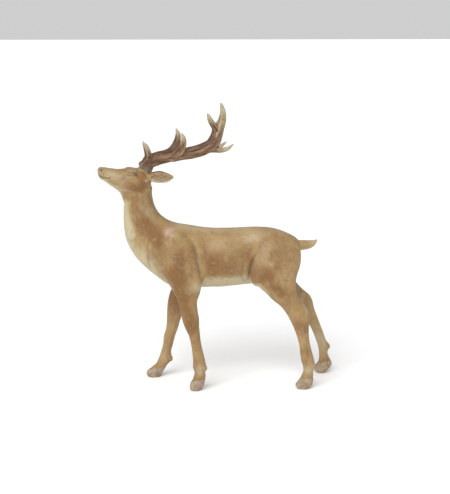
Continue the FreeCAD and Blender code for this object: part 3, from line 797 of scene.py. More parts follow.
class Hair:
    """Short curved hair strokes over the side view, kept as heights on a fine grid."""

    CELL = 0.5
    LOW = np.array((-262.0, 0.0))
    HIGH = np.array((262.0, 490.0))
    # The lie of the hair: a place and its direction, 0 towards the tail and -90 down.
    LIE = np.array([
        (-235, 462, 8), (-205, 455, 0), (-185, 435, -45), (-176, 400, -80), (-170, 340, -80),
        (-150, 290, -72), (-118, 345, -30), (-95, 300, -58), (-80, 250, -78), (0, 336, -4),
        (0, 290, -22), (0, 236, -4), (70, 332, -6), (140, 322, -38), (110, 284, -52),
        (118, 240, -60), (160, 280, -80), (192, 304, 0), (-58, 150, -86), (-100, 120, -105),
        (165, 150, -82), (200, 150, -70), (-50, 60, -88), (185, 60, -82),
    ], float)

    def __init__(self, count, length, width):
        shape = ((self.HIGH - self.LOW) / self.CELL).astype(int) + 1
        self.layers = {side: np.zeros(shape) for side in (LEFT, RIGHT)}
        for layer in self.layers.values():
            middles = self.LOW + rng.random((count, 2)) * (self.HIGH - self.LOW)
            for middle, lie in zip(middles, self.lie(middles)):
                self.draw(layer, middle, lie + rng.normal(0, 0.22), rng.uniform(*length), width)

    def lie(self, places):
        """The direction of the hair at those places, in radians, from the nearest places known."""
        gaps = np.linalg.norm(places[:, None] - self.LIE[None, :, :2], axis=2)
        weight = 1 / (gaps + 4) ** 3
        angle = np.radians(self.LIE[:, 2])
        return np.arctan2(weight @ np.sin(angle), weight @ np.cos(angle))

    def draw(self, layer, middle, lie, length, width):
        """Adds one stroke, raised or pressed, a little bent and tapering to both ends."""
        reach = int((length / 2 + 3 * width) / self.CELL)
        centre = ((middle - self.LOW) / self.CELL).astype(int)
        low = np.maximum(centre - reach, 0)
        high = np.minimum(centre + reach, layer.shape)
        x, z = np.meshgrid(*[np.arange(a, b) for a, b in zip(low, high)], indexing="ij")
        dx = x * self.CELL + self.LOW[0] - middle[0]
        dz = z * self.CELL + self.LOW[1] - middle[1]
        u = (dx * math.cos(lie) + dz * math.sin(lie)) / (length / 2)
        bend = rng.normal(0, 1.4)
        w = (dz * math.cos(lie) - dx * math.sin(lie) - bend * u * u) / width
        mark = np.clip(1 - u * u, 0, 1) * np.exp(-w * w) * rng.uniform(0.5, 1.0) * rng.choice((-1, 1))
        layer[low[0]:high[0], low[1]:high[1]] += mark

    def height(self, flat, side):
        """The height of the hair at points of the side view, on the side they are on."""
        place = np.clip((flat - self.LOW) / self.CELL, 0, np.array(self.layers[LEFT].shape) - 2)
        cell = place.astype(int)
        f = place - cell
        out = np.zeros(len(flat))
        for which, layer in self.layers.items():
            total = np.zeros(len(flat))
            for i in (0, 1):
                for k in (0, 1):
                    weight = (f[:, 0] if i else 1 - f[:, 0]) * (f[:, 1] if k else 1 - f[:, 1])
                    total += weight * layer[cell[:, 0] + i, cell[:, 1] + k]
            out = np.where((side >= 0) == (which == RIGHT), total, out)
        return np.clip(out, -1.6, 1.6)


# ---------------------------------------------------------------- paint masks

# Soft ovals of paint in the side view: mask, x, z, half length, half height, tilt, strength.
PATCHES = [
    ("brown", -158, 360, 16, 26, 20, 0.75),
    ("brown", -138, 326, 13, 26, 10, 0.65),
    ("brown", -118, 300, 12, 22, -15, 0.35),
    ("brown", -88, 290, 15, 17, 0, 0.65),
    ("brown", -98, 262, 22, 16, 10, 0.7),
    ("brown", -84, 258, 9, 22, 8, 0.5),
    ("brown", -62, 300, 7, 30, 8, 0.55),
    ("brown", -84, 224, 16, 16, 0, 0.6),
    ("brown", -74, 190, 13, 34, 6, 0.6),
    ("brown", -20, 270, 14, 24, 0, 0.65),
    ("brown", 12, 262, 24, 20, 0, 0.6),
    ("brown", 44, 296, 18, 22, 0, 0.35),
    ("brown", -36, 304, 8, 16, 0, 0.4),
    ("brown", 62, 276, 9, 34, 8, 0.6),
    ("brown", 100, 244, 22, 15, -32, 0.65),
    ("brown", 120, 218, 22, 12, -35, 0.75),
    ("brown", 84, 256, 12, 14, 0, 0.35),
    ("brown", 166, 142, 12, 20, 0, 0.6),
    ("brown", 182, 84, 7, 18, 0, 0.35),
    ("brown", -66, 138, 10, 26, 0, 0.5),
    ("brown", 106, 262, 20, 16, 0, 0.35),
    ("brown", 116, 322, 22, 12, -20, 0.35),
    ("brown", 118, 274, 11, 10, 0, 0.3),
    ("brown", 196, 176, 18, 24, -25, 0.3),
    ("brown", -98, 176, 18, 38, 10, 0.8),
    ("brown", -70, 216, 20, 14, 0, 0.55),
    ("brown", -92, 250, 16, 24, 0, 0.45),
    ("brown", -58, 150, 14, 34, 0, 0.35),
    ("brown", -128, 340, 14, 26, 10, 0.35),
    ("brown", -4, 284, 40, 16, 0, 0.3),
    ("rust", 40, 342, 100, 5, -3, 0.12),
    # The pale ovals here and below are lighter paint with painted highlights in them, on the back, saddle,
    # flank, hock and fetlocks.
    ("pale", -70, 350, 44, 9, -12, 0.34),
    ("pale", 4, 343, 90, 6, -2, 0.36),
    ("rust", -14, 262, 10, 12, 0, 0.5),
    ("rust", 90, 240, 12, 12, 0, 0.5),
    ("rust", 96, 330, 34, 8, 0, 0.25),
    ("rust", 162, 176, 10, 14, 0, 0.3),
    ("pink", -107, 342, 13, 9, -10, 0.85),
    ("cream", -198, 380, 10, 52, 6, 0.95),
    ("cream", -196, 320, 14, 40, -12, 0.95),
    ("cream", -172, 284, 26, 26, -50, 0.95),
    ("cream", -150, 262, 18, 16, -40, 0.6),
    ("cream", 2, 225, 62, 13, 0, 1.0),
    ("pale", 67, 326, 22, 9, 0, 0.75),
    ("pale", -8, 314, 26, 13, 0, 0.35),
    ("pale", 90, 290, 13, 20, 0, 0.4),
    ("pale", 180, 170, 7, 12, 0, 0.5),
    ("pale", -150, 385, 12, 26, 30, 0.45),
    ("pale", -46, 46, 14, 15, 0, 0.75),
    ("pale", 188, 44, 15, 17, 0, 0.85),
    ("pale", -122, 50, 14, 14, 0, 0.5),
    ("pale", 226, 78, 17, 36, 15, 0.8),
    ("pale", 176, 290, 12, 24, 0, 0.35),
    ("pale", 106, 275, 4, 4, 0, 0.5),
]
# The same on the head, in its own frame.
HEAD_PATCHES = [
    ("brown", -167, 462, 11, 8, -10, 0.8),
    ("brown", -162, 446, 9, 12, 10, 0.55),
    ("brown", -182, 437, 18, 10, 0, 0.7),
    ("brown", -166, 431, 12, 12, 0, 0.5),
    ("brown", -177, 464.5, 8, 3, 10, 0.6),
    ("brown", -196, 464, 6, 2.5, 20, 0.3),
    ("rust", -192, 442, 12, 8, 0, 0.5),
    ("rust", -168, 460, 9, 7, 0, 0.5),
    ("muzzle", -232, 462, 24, 14, 0, 0.75),
    ("grey", -193, 457.5, 8.5, 4.0, 12, 0.6),
    ("grey", -184, 464.2, 4.0, 1.1, 0, 0.9),
    ("grey", -216, 456, 9, 8, 20, 0.3),
    ("grey", -158, 473, 7, 4, -30, 0.45),
    ("pale", -205, 466, 14, 3, 0, 0.3),
    ("cream", -238, 449, 10, 5, -30, 0.3),
    # Painted shade on the forehead under the brow, in brown and grey.
    ("brown", -186, 470, 12, 3.5, -8, 0.45),
    ("grey", -180, 471, 10, 3, -8, 0.45),
    ("muzzle", -205, 444, 16, 8, -20, 0.35),
]
# Every mask that the coat's paint reads.
MASKS = ["brown", "rust", "pink", "cream", "pale", "muzzle", "grey", "horn", "line_paint_and_fold_shade", "strand"]


def paint_body(skin):
    """The masks that the body's paint is mixed by, from 0 to 1 at every point."""
    points, normals = skin.points, skin.normals()
    warp = np.stack([noise(points, 14, 3), noise(points, 14, 4)], -1) * 5
    warp += np.stack([noise(points, 5, 5), noise(points, 5, 6)], -1) * 1.6
    head_points = turned(points, back=True)
    flat = points[:, [0, 2]] + warp
    head_flat = head_points[:, [0, 2]] + warp * 0.25
    masks = {name: np.zeros(len(points)) for name in MASKS}
    lower = fade(points[:, 2], 418, 400)  # 1 on the body and 0 on the head
    for name, x, z, long, short, tilt, strength in PATCHES:
        masks[name] += patch(flat, x, z, long, short, tilt) * strength * lower
    for name, x, z, long, short, tilt, strength in HEAD_PATCHES:
        masks[name] += patch(head_flat, x, z, long, short, tilt) * strength * (1 - lower)
    # Painted highlight: the upward-facing back is made paler, as if lit from above.
    back = fade(normals[:, 2], 0.55, 0.95) * fade(points[:, 2], 300, 330) * fade(points[:, 0], -120, -80)
    masks["pale"] += back * 0.2
    under = fade(normals[:, 2], -0.2, -0.75) * fade(points[:, 2], 190, 215)
    masks["cream"] += under * 0.8
    inner = fade(normals[:, 1] * np.sign(points[:, 1]), -0.3, -0.9) * fade(points[:, 2], 270, 240)
    masks["cream"] += inner * 0.14 * fade(points[:, 2], 40, 90)
    for leg_side, x, y, top, lean in CLEFTS:
        edge = above_hoof(points, x, top, lean) + warp[:, 0] * 0.15
        near = (np.sign(points[:, 1]) == leg_side) * (np.abs(points[:, 0] - x) < 36)
        masks["horn"] += fade(edge, 1.2, -1.2) * near
    masks["horn"] = np.maximum(masks["horn"], fade(head_points[:, 0], -249.5, -252.5) * (1 - lower) * 0.7)
    tail = fade(points[:, 0], 176, 205) * fade(points[:, 2], 285, 292)
    masks["cream"] += tail * 0.55
    for name, mask in masks.items():
        if name not in skin.paint:
            skin.paint[name] = np.clip(mask, 0, 1)
    return skin


# ---------------------------------------------------------------- meshes from skins


def mesh_of(skin):
    """A bmesh of a skin, in metres, that carries its masks and the normals it had whole."""
    mesh = bpy.data.meshes.new("whole")
    mesh.from_pydata((skin.points * MM).tolist(), [], skin.quads.tolist())
    normals = mesh.attributes.new("whole_normal", "FLOAT_VECTOR", "POINT")
    normals.data.foreach_set("vector", skin.normals().astype(np.float32).ravel())
    for name, mask in skin.paint.items():
        layer = mesh.attributes.new(name, "FLOAT", "POINT")
        layer.data.foreach_set("value", mask.astype(np.float32))
    bm = bmesh.new()
    bm.from_mesh(mesh)
    bpy.data.meshes.remove(mesh)
    return bm


def slice_at(bm, point, normal, near=None):
    """Cuts the faces near a plane along it, so that whole faces lie on either side."""
    faces = [f for f in bm.faces if near is None or near(f.calc_center_median() / MM)]
    parts = {v for f in faces for v in f.verts} | {e for f in faces for e in f.edges}
    bmesh.ops.bisect_plane(
        bm, geom=faces + list(parts), dist=1e-6,
        plane_co=Vector(point) * MM, plane_no=Vector(normal),
    )


def cap(bm, mouths=()):
    """Closes every open rim with a flat face. A rim at a mouth is closed round its bore."""
    faces = []
    for rim in rim_loops(bm):
        middle = np.array(rim_middle(rim)) / MM
        for mouth in mouths:
            if np.linalg.norm(middle - mouth[0]) < 6:
                faces += bore(bm, rim, *mouth)
                break
        else:
            made = bmesh.ops.holes_fill(bm, edges=rim, sides=0)["faces"]
            faces += bmesh.ops.triangulate(bm, faces=made)["faces"]
    return faces


def rim_loops(bm):
    """The open rims of a mesh, as lists of edges."""
    loose = {e for e in bm.edges if e.is_boundary}
    loops = []
    while loose:
        queue = [loose.pop()]
        loop = []
        while queue:
            edge = queue.pop()
            loop.append(edge)
            for v in edge.verts:
                for other in v.link_edges:
                    if other in loose:
                        loose.remove(other)
                        queue.append(other)
        loops.append(loop)
    return loops


def rim_middle(rim):
    """The middle of a rim's edges, in metres."""
    total = Vector()
    for edge in rim:
        total += (edge.verts[0].co + edge.verts[1].co) / 2
    return total / len(rim)


def bore(bm, rim, centre, axis, first, second):
    """Closes a rim with a flat ring round a blind bore for the socket."""
    around = 48
    rings = []
    for depth in (0, SOCKET_DEPTH):
        ring = []
        for k in range(around):
            angle = 2 * math.pi * k / around
            across = first * math.cos(angle) + second * math.sin(angle)
            ring.append(bm.verts.new(Vector(centre + across * SOCKET_RADIUS - axis * depth) * MM))
        rings.append(ring)
    top, bottom = rings
    edges = [bm.edges.new((top[k], top[(k + 1) % around])) for k in range(around)]
    faces = bmesh.ops.triangle_fill(bm, edges=rim + edges, use_beauty=True)["geom"]
    faces = [f for f in faces if isinstance(f, bmesh.types.BMFace)]
    for k in range(around):
        after = (k + 1) % around
        faces.append(bm.faces.new((top[k], top[after], bottom[after], bottom[k])))
    faces.append(bm.faces.new(bottom))
    return faces


def piece(node, whole, keep, material, body="figure", also=(), mouths=()):
    """The faces of the whole that keep() picks, closed and made the piece that stands for a node."""
    bm = whole.copy()
    drop = [f for f in bm.faces if not keep(f.calc_center_median() / MM)]
    bmesh.ops.delete(bm, geom=drop, context="FACES")
    caps = cap(bm, mouths)
    mark = bm.faces.layers.int.new("cap")
    for f in bm.faces:
        f.smooth = True
    for f in caps:
        if f.is_valid:
            f[mark] = 1
    bmesh.ops.recalc_face_normals(bm, faces=bm.faces)
    name = f"{node}_skin"
    mesh = bpy.data.meshes.new(name)
    bm.to_mesh(mesh)
    bm.free()
    keep_normals(mesh)
    mesh.materials.append(material)
    obj = bpy.data.objects.new(name, mesh)
    bpy.context.scene.collection.objects.link(obj)
    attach(obj, body)
    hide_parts(node, *also)


def keep_normals(mesh):
    """Shades a piece with the normals of the whole skin, and its flat caps with their own."""
    count = len(mesh.vertices)
    whole = np.zeros(count * 3, np.float32)
    mesh.attributes["whole_normal"].data.foreach_get("vector", whole)
    whole = whole.reshape(-1, 3)
    corner_vertex = np.zeros(len(mesh.loops), np.int32)
    mesh.loops.foreach_get("vertex_index", corner_vertex)
    starts = np.zeros(len(mesh.polygons), np.int32)
    totals = np.zeros(len(mesh.polygons), np.int32)
    is_cap = np.zeros(len(mesh.polygons), np.int32)
    flat = np.zeros(len(mesh.polygons) * 3, np.float32)
    mesh.polygons.foreach_get("loop_start", starts)
    mesh.polygons.foreach_get("loop_total", totals)
    mesh.polygons.foreach_get("normal", flat)
    mesh.attributes["cap"].data.foreach_get("value", is_cap)
    face_of = np.repeat(np.arange(len(totals)), totals)
    normals = np.where(is_cap[face_of][:, None] == 1, flat.reshape(-1, 3)[face_of], whole[corner_vertex])
    lengths = np.linalg.norm(normals, axis=1, keepdims=True)
    normals = np.where(lengths > 0.1, normals / np.maximum(lengths, 1e-9), flat.reshape(-1, 3)[face_of])
    mesh.normals_split_custom_set(normals.tolist())
    mesh.attributes.remove(mesh.attributes["whole_normal"])
    mesh.attributes.remove(mesh.attributes["cap"])


# ---------------------------------------------------------------- materials


class Socket:
    """A shader value in a Python expression: each operation adds a Math node."""

    def __init__(self, graph, socket):
        self.graph = graph
        self.socket = socket

    def math(self, operation, other):
        return self.graph.node("ShaderNodeMath", {"operation": operation}, self, other)

    def __add__(self, other):
        return self.math("ADD", other)

    def __sub__(self, other):
        return self.math("SUBTRACT", other)

    def __mul__(self, other):
        return self.math("MULTIPLY", other)


class Paint:
    """A material's node tree."""

    def __init__(self, name):
        self.material = bpy.data.materials.new(name)
        self.material.use_nodes = True
        self.tree = self.material.node_tree
        self.shader = self.tree.nodes["Principled BSDF"]

    def node(self, kind, settings=None, *values, out=0, **named):
        """Adds a node, sets it up, and fills its inputs in order and by name."""
        node = self.tree.nodes.new(kind)
        for key, value in (settings or {}).items():
            setattr(node, key, value)
        for index, value in list(enumerate(values)) + list(named.items()):
            target = node.inputs[index.replace("_", " ") if isinstance(index, str) else index]
            self.feed(target, value)
        return Socket(self, node.outputs[out])

    def feed(self, target, value):
        """Links a socket to an input, or sets the input to a plain value."""
        if isinstance(value, Socket):
            self.tree.links.new(value.socket, target)
        elif value is not None:
            target.default_value = value

    def mask(self, name):
        """A mask that the mesh carries at its points."""
        return self.node("ShaderNodeAttribute", {"attribute_name": name}, out="Fac")

    def place(self, scale=(1, 1, 1), turn=(0, 0, 0)):
        """Object coordinates, stretched and turned."""
        where = self.node("ShaderNodeTexCoord", None, out="Object")
        return self.node("ShaderNodeMapping", None, where, Rotation=turn, Scale=scale)

    def noise(self, scale, detail=3.0, rough=0.55, place=None, warp=0.0):
        """Noise from 0 to 1, its scale in lumps per metre."""
        return self.node("ShaderNodeTexNoise", None, Vector=place or self.place(), Scale=scale,
                         Detail=detail, Roughness=rough, Distortion=warp, out="Fac")

    def mix(self, share, first, second):
        """The first colour with that share of the second laid over it."""
        node = self.tree.nodes.new("ShaderNodeMix")
        node.data_type = "RGBA"
        self.feed(node.inputs["Factor"], share)
        for index, colour in ((6, first), (7, second)):
            self.feed(node.inputs[index], colour)
        return Socket(self, node.outputs[2])

    def spread(self, value, low, high, to_low=0.0, to_high=1.0):
        """Stretches a value's range from low..high to to_low..to_high, clamped and smooth."""
        settings = {"interpolation_type": "SMOOTHSTEP"}
        return self.node("ShaderNodeMapRange", settings, value, low, high, to_low, to_high)

    def bump(self, height, strength, distance):
        return self.node("ShaderNodeBump", None, Strength=strength, Distance=distance, Height=height)

    def finish(self, **sockets):
        """Fills the shader's inputs, named with _ for a space, and gives the material."""
        for name, value in sockets.items():
            self.feed(self.shader.inputs[name.replace("_", " ")], value)
        return self.material


def srgb(red, green, blue):
    """A paint's colour, given as it looks on a screen from 0 to 255."""
    def linear(v):
        v = v / 255
        return v / 12.92 if v <= 0.04045 else ((v + 0.055) / 1.055) ** 2.4
    return (linear(red), linear(green), linear(blue), 1.0)


TAN = srgb(160, 131, 88)
TAN_DEEP = srgb(134, 103, 65)
BROWN = srgb(122, 86, 46)
RUST = srgb(138, 94, 56)
PINK = srgb(182, 154, 132)
CREAM = srgb(178, 164, 130)
CREAM_LIGHT = srgb(190, 178, 146)
# Pale paint, also used for painted highlights.
PALE = srgb(174, 156, 124)
OLIVE = srgb(142, 122, 76)
MUZZLE = srgb(168, 152, 118)
GREY = srgb(160, 150, 134)
HORN = srgb(162, 144, 122)
HORN_DARK = srgb(128, 108, 90)
# Dark paint for lines, also laid on as painted shade in folds and hair grooves.
LINE_AND_SHADE_DARK = srgb(84, 64, 44)
LINE_AND_SHADE_COOL = srgb(88, 80, 62)
# The coat's paints, in the order they are laid on: mask, colour and how thick.
PAINTS = [
    ("brown", BROWN, 0.95), ("rust", RUST, 0.85), ("pink", PINK, 0.8), ("pale", PALE, 0.8),
    ("cream", CREAM, 1.0), ("muzzle", MUZZLE, 0.9), ("grey", GREY, 0.8),
]


def coat_material():
    """Hand-painted fur: brushed patches over tan, dark line paint and painted shade in the folds, satin
    varnish.
    """
    p = Paint("painted_coat")
    streak = p.noise(150, 4, 0.65, p.place((0.4, 1, 1), (0, 0.5, 0)), 0.4)
    streak_down = p.noise(150, 4, 0.65, p.place((1, 1, 0.28)), 0.4)
    fine = p.noise(700, 2, 0.5)
    cloud = p.noise(26, 4, 0.6)
    patchy = p.noise(62, 3, 0.55)
    brush = (streak + streak_down * 1.4) * (1 / 2.4)
    edge = (brush - 0.5) * 1.1 + (patchy - 0.5) * 0.3
    colour = p.mix(p.spread(cloud * 0.5 + brush * 0.5, 0.4, 0.62), TAN, TAN_DEEP)
    colour = p.mix(p.spread(p.noise(40, 2, 0.5, p.place((1, 1, 1), (0.7, 0.3, 0.2))), 0.5, 0.75, 0, 0.45),
                   colour, OLIVE)
    for name, paint, reach in PAINTS:
        mask = p.mask(name)
        share = p.spread(mask + edge * 0.45, 0.02, 0.82, 0, reach) * p.spread(mask, 0.0, 0.2)
        colour = p.mix(share, colour, paint)
    light = p.spread(p.mask("cream") + edge * 0.6, 0.7, 1.2, 0, 0.5)
    colour = p.mix(light, colour, CREAM_LIGHT)
    horn = p.mix(p.spread(p.noise(120, 3), 0.35, 0.7), HORN, HORN_DARK)
    colour = p.mix(p.spread(p.mask("horn"), 0.2, 0.8), colour, horn)
    strand = p.mask("strand")
    # Painted shade in the pressed hair strokes, and a painted highlight on the raised ones.
    colour = p.mix(p.spread(strand, -0.1, -1.0, 0, 0.22), colour, LINE_AND_SHADE_DARK)
    colour = p.mix(p.spread(strand, 0.1, 1.0, 0, 0.12), colour, CREAM_LIGHT)
    colour = p.mix(p.spread(brush, 0.48, 0.3, 0, 0.42), colour, BROWN)
    colour = p.mix(p.spread(brush, 0.53, 0.7, 0, 0.34), colour, CREAM)
    # Dark line paint, and painted shade in the folds and creases.
    line_paint_and_fold_shade = p.mix(p.spread(patchy, 0.4, 0.6), LINE_AND_SHADE_DARK, LINE_AND_SHADE_COOL)
    dark = p.spread(p.mask("line_paint_and_fold_shade") + edge * 0.25, 0.1, 1.05, 0, 0.72)
    colour = p.mix(dark, colour, line_paint_and_fold_shade)
    normal = p.bump(brush * 0.6 + fine * 0.4, 0.3, 0.0005)
    roughness = p.spread(brush + p.mask("line_paint_and_fold_shade") * 0.3, 0.3, 0.8, 0.42, 0.6)
    return p.finish(Base_Color=colour, Roughness=roughness, Normal=normal, Specular_IOR_Level=0.36)


def antler_material():
    """Dark stained antler, darker in its grooves with painted shade and lighter on its ridges with rubbed
    paint and a painted highlight, that fades to cream at the tips.
    """
    p = Paint("painted_antler")
    dark, mid, rubbed_ridge_highlight = srgb(74, 47, 27), srgb(108, 76, 46), srgb(156, 128, 96)
    tip, tip_end = srgb(176, 160, 126), srgb(170, 164, 148)
    foot = srgb(116, 104, 94)
    grain = p.noise(300, 4, 0.6, p.place((0.4, 1, 1)), 0.6)
    cloud = p.noise(60, 3, 0.6)
    ridge = p.mask("ridge")
    out = p.mask("outward")
    edge = (grain - 0.5) * 0.6 + (cloud - 0.5) * 0.6
    # Darker in the grooves: stain with painted shade. Lighter on the ridges: rubbed paint with a painted
    # highlight.
    colour = p.mix(p.spread(ridge + edge * 0.5, 0.2, 0.6), dark, mid)
    colour = p.mix(p.spread(ridge + edge * 0.5, 0.58, 0.95, 0, 0.95), colour, rubbed_ridge_highlight)
    colour = p.mix(p.spread(out + edge * 0.3 + ridge * 0.16, 0.72, 1.06, 0, 0.95), colour, tip)
    colour = p.mix(p.spread(out + edge * 0.1, 0.88, 1.02, 0, 0.7), colour, tip_end)
    colour = p.mix(p.spread(p.mask("foot") + edge * 0.7, 0.4, 1.1, 0, 0.65), colour, foot)
    colour = p.mix(p.spread(grain, 0.48, 0.3, 0, 0.35), colour, dark)
    normal = p.bump(grain, 0.4, 0.0006)
    return p.finish(Base_Color=colour, Roughness=p.spread(grain, 0.3, 0.7, 0.4, 0.58), Normal=normal)


def ear_material():
    """Tan outside, cream rim, brushed pink-brown hollow."""
    p = Paint("painted_ear")
    streak = p.noise(260, 3, 0.6, p.place((0.35, 0.6, 1), (0, 0, 0.6)), 0.3)
    edge = streak - 0.5
    colour = p.mix(p.spread(streak, 0.35, 0.65), TAN, TAN_DEEP)
    hollow = p.mix(p.spread(p.mask("strand") + edge, -0.5, 0.7), srgb(118, 94, 66), srgb(156, 134, 102))
    colour = p.mix(p.spread(p.mask("hollow") + edge * 0.4, 0.2, 0.8, 0, 0.95), colour, hollow)
    colour = p.mix(p.spread(p.mask("rim") + edge * 0.5, 0.3, 0.8, 0, 0.95), colour, srgb(186, 174, 146))
    colour = p.mix(p.spread(p.mask("upper") + edge * 0.5, 0.35, 0.9, 0, 0.7), colour, srgb(112, 88, 64))
    colour = p.mix(p.spread(streak, 0.45, 0.25, 0, 0.35), colour, BROWN)
    normal = p.bump(streak, 0.35, 0.0005)
    return p.finish(Base_Color=colour, Roughness=0.5, Normal=normal)


def metal_material(name, colour, rough):
    """Drawn or turned metal with faint tool lines."""
    p = Paint(name)
    lines = p.noise(700, 2, 0.5, p.place((1, 1, 0.2)))
    shade = p.mix(p.spread(lines, 0.3, 0.7, 0, 0.4), colour, srgb(90, 88, 86))
    return p.finish(Base_Color=shade, Roughness=p.spread(lines, 0.3, 0.7, rough, rough + 0.15), Metallic=1.0)


# ---------------------------------------------------------------- body, legs and tail


def seam_normal():
    """The way towards the tail, square to the neck joint."""
    (low_x, low_z), (high_x, high_z), _ = NECK_JOINT
    normal = Vector((high_z - low_z, 0, low_x - high_x))
    return normal.normalized()


def behind_neck_joint(middle):
    """Whether a place is on the torso's side of the neck joint."""
    (low_x, low_z), _, _ = NECK_JOINT
    return (middle - Vector((low_x, 0, low_z))).dot(seam_normal()) > 0


def part_of(middle):
    """Which casting a place of the body belongs to."""
    x, y, z = middle
    if not behind_neck_joint(middle):
        return "neck"
    if z < FRONT_JOINT_HEIGHT and x < FRONT_LEGS_END:
        return "front_leg"
    if z < HIND_JOINT_HEIGHT and x > HIND_LEGS_START and abs(y) > CROTCH_HALF_WIDTH:
        return "hind_leg"
    if x > TAIL_CLEAR_X and abs(y) < TAIL_HALF_WIDTH and TAIL_BOTTOM < z < TAIL_TOP:
        return "tail"
    return "torso"


def make_body(hair, coat):
    """The torso, the legs and the tail, cut from one skin at their joints."""
    clay = Clay((-215, -76, -5), (264, 76, 395), BODY_VOXEL)
    melt_body(clay)
    skin = paint_body(sculpt(clay.skin(), hair))
    whole = mesh_of(skin)
    slice_at(whole, (NECK_JOINT[0][0], 0, NECK_JOINT[0][1]), seam_normal())
    up = (0, 0, 1)
    slice_at(whole, (0, 0, FRONT_JOINT_HEIGHT), up, lambda m: m.x < FRONT_LEGS_END)
    slice_at(whole, (0, 0, HIND_JOINT_HEIGHT), up,
             lambda m: m.x > HIND_LEGS_START and abs(m.y) > CROTCH_HALF_WIDTH)
    slice_at(whole, (TAIL_JOINT_X, 0, 0), (1, 0, 0),
             lambda m: m.z > TAIL_BOTTOM and abs(m.y) < TAIL_HALF_WIDTH)

    def keeps(part, side=0):
        return lambda m: part_of(m) == part and m.y * side >= 0

    piece("torso_casting", whole, keeps("torso"), coat, also=["belly_plug"])
    piece("tail_casting", whole, keeps("tail"), coat)
    for word, side in SIDES.items():
        for part in ("front_leg", "hind_leg"):
            piece(f"{word}_{part}", whole, keeps(part, side), coat)
    whole.free()


# ---------------------------------------------------------------- ears

# The hollow of an ear: a point of its run, its half height and its half depth.
EAR_HOLLOW = [
    ((-147, -32.5, 457), 3.2, 2.0),
    ((-138, -39, 457.6), 7.4, 3.6),
    ((-128, -46.5, 458.4), 8.6, 3.8),
    ((-117, -53, 459.4), 6.2, 3.0),
    ((-109, -57.5, 460.4), 2.4, 1.2),
]


def make_ear(name, side, material):
    """A leaf with a carved hollow, cut where it meets its root on the head."""
    clay = Clay((-172, -74, 426), (-92, -2, 482), EAR_VOXEL)
    sections, hollow = ear_sections(EAR_SECTIONS, side), ear_sections(EAR_HOLLOW, side)
    clay.add(clay.measure(leaf_form(sections)), 1)
    clay.add(clay.measure(leaf_form(ear_sections(EAR_ROOT[:1] + EAR_SECTIONS[:2], side))), 2)
    clay.carve(clay.measure(leaf_form(hollow)), 1.6)
    skin = clay.skin()
    _, run, up, out = ear_frame()
    foot = np.array(sections[0][0], float)
    local = skin.points - foot
    along, high, deep = local @ run, local @ up, local @ out
    normals = skin.normals()
    rows = spline([(*point, tall, thick) for point, tall, thick in sections], 6)
    places = (rows[:, :3] - foot) @ run
    tall = np.interp(along, places, rows[:, 3])
    middle = np.interp(along, places, (rows[:, :3] - foot) @ up)
    level = (high - middle) / np.maximum(tall, 1)
    hollow_rows = spline([(*point, tall, thick) for point, tall, thick in hollow], 6)
    hollow_places = (hollow_rows[:, :3] - foot) @ run
    gap_high = np.abs(high - np.interp(along, hollow_places, (hollow_rows[:, :3] - foot) @ up))
    reach = np.interp(along, hollow_places, hollow_rows[:, 3], left=0, right=0)
    facing = fade(normals @ out, -0.2, 0.2)
    inside = fade(gap_high / np.maximum(reach, 0.5), 1.0, 0.8) * facing
    lines = np.stack([along * 0.16, high * 0.9 - along * 0.2, np.zeros_like(along)], -1)
    hairs = noise(lines, 1.0, 8)
    skin.push(hairs * 0.22 * fade(along, 0, 6) + noise(skin.points, 7, 9) * 0.25)
    skin.paint["strand"] = hairs
    skin.paint["hollow"] = inside
    edges = fade(normals @ out, -0.85, -0.3) * (1 - inside)
    lower_rim = fade(-level, 0.3, 0.6)
    upper_rim = fade(level, 0.4, 0.6) * fade(level, 0.95, 0.75)
    skin.paint["rim"] = (lower_rim * edges + upper_rim * edges * 0.3) * fade(along, 2, 12)
    skin.paint["upper"] = fade(level, 0.72, 0.95)
    if side == RIGHT:
        skin.points = skin.points * (1, -1, 1)
        skin.quads = skin.quads[:, ::-1]
        foot, run = foot * (1, -1, 1), run * (1, -1, 1)
    skin.points = turned(skin.points)
    foot, run = turned(foot), turned_direction(run)
    whole = mesh_of(skin)
    slice_at(whole, foot, run)
    piece(name, whole, lambda m: (m - Vector(foot)).dot(Vector(run)) > 0, material)


# ---------------------------------------------------------------- antlers

KNOBS = 17  # pearls in one round of the collar, which has two
# How round each branch is across the stag: 1 is round, less is flattened.
BRANCH_FLAT = {"beam": 1.0, "front_prong": 0.9, "rear_tine": 0.9, "middle_tine": 1.0, "brow_tine": 0.9}
# How far towards the cream of the tips each branch already is at its root.
PALE_ROOTS = {"beam": 0.0, "front_prong": 0.55, "rear_tine": 0.72, "middle_tine": 0.24, "brow_tine": 0.52}


def nearest_branch(points, lines):
    """For each point: the branch nearest to it, how far along, at what angle and how thick."""
    best = np.full(len(points), np.inf)
    found = {key: np.zeros(len(points)) for key in ("along", "share", "angle", "radius", "seed")}
    for seed, (places, radii, run, first, second) in enumerate(lines):
        lengths = np.concatenate([[0], np.cumsum(np.linalg.norm(np.diff(places, axis=0), axis=1))])
        gaps = np.linalg.norm(points[:, None] - places[None], axis=2)
        index = gaps.argmin(1)
        gap = gaps[np.arange(len(points)), index] - radii[index]
        local = points - places[index]
        angle = np.arctan2((local * second[index]).sum(1), (local * first[index]).sum(1))
        along = lengths[index] + (local * run[index]).sum(1)
        nearer = gap < best
        best = np.where(nearer, gap, best)
        values = {
            "along": along, "share": along / lengths[-1], "angle": angle, "radius": radii[index],
            "seed": np.full(len(points), float(seed)),
        }
        for key, value in values.items():
            found[key] = np.where(nearer, value, found[key])
    return found


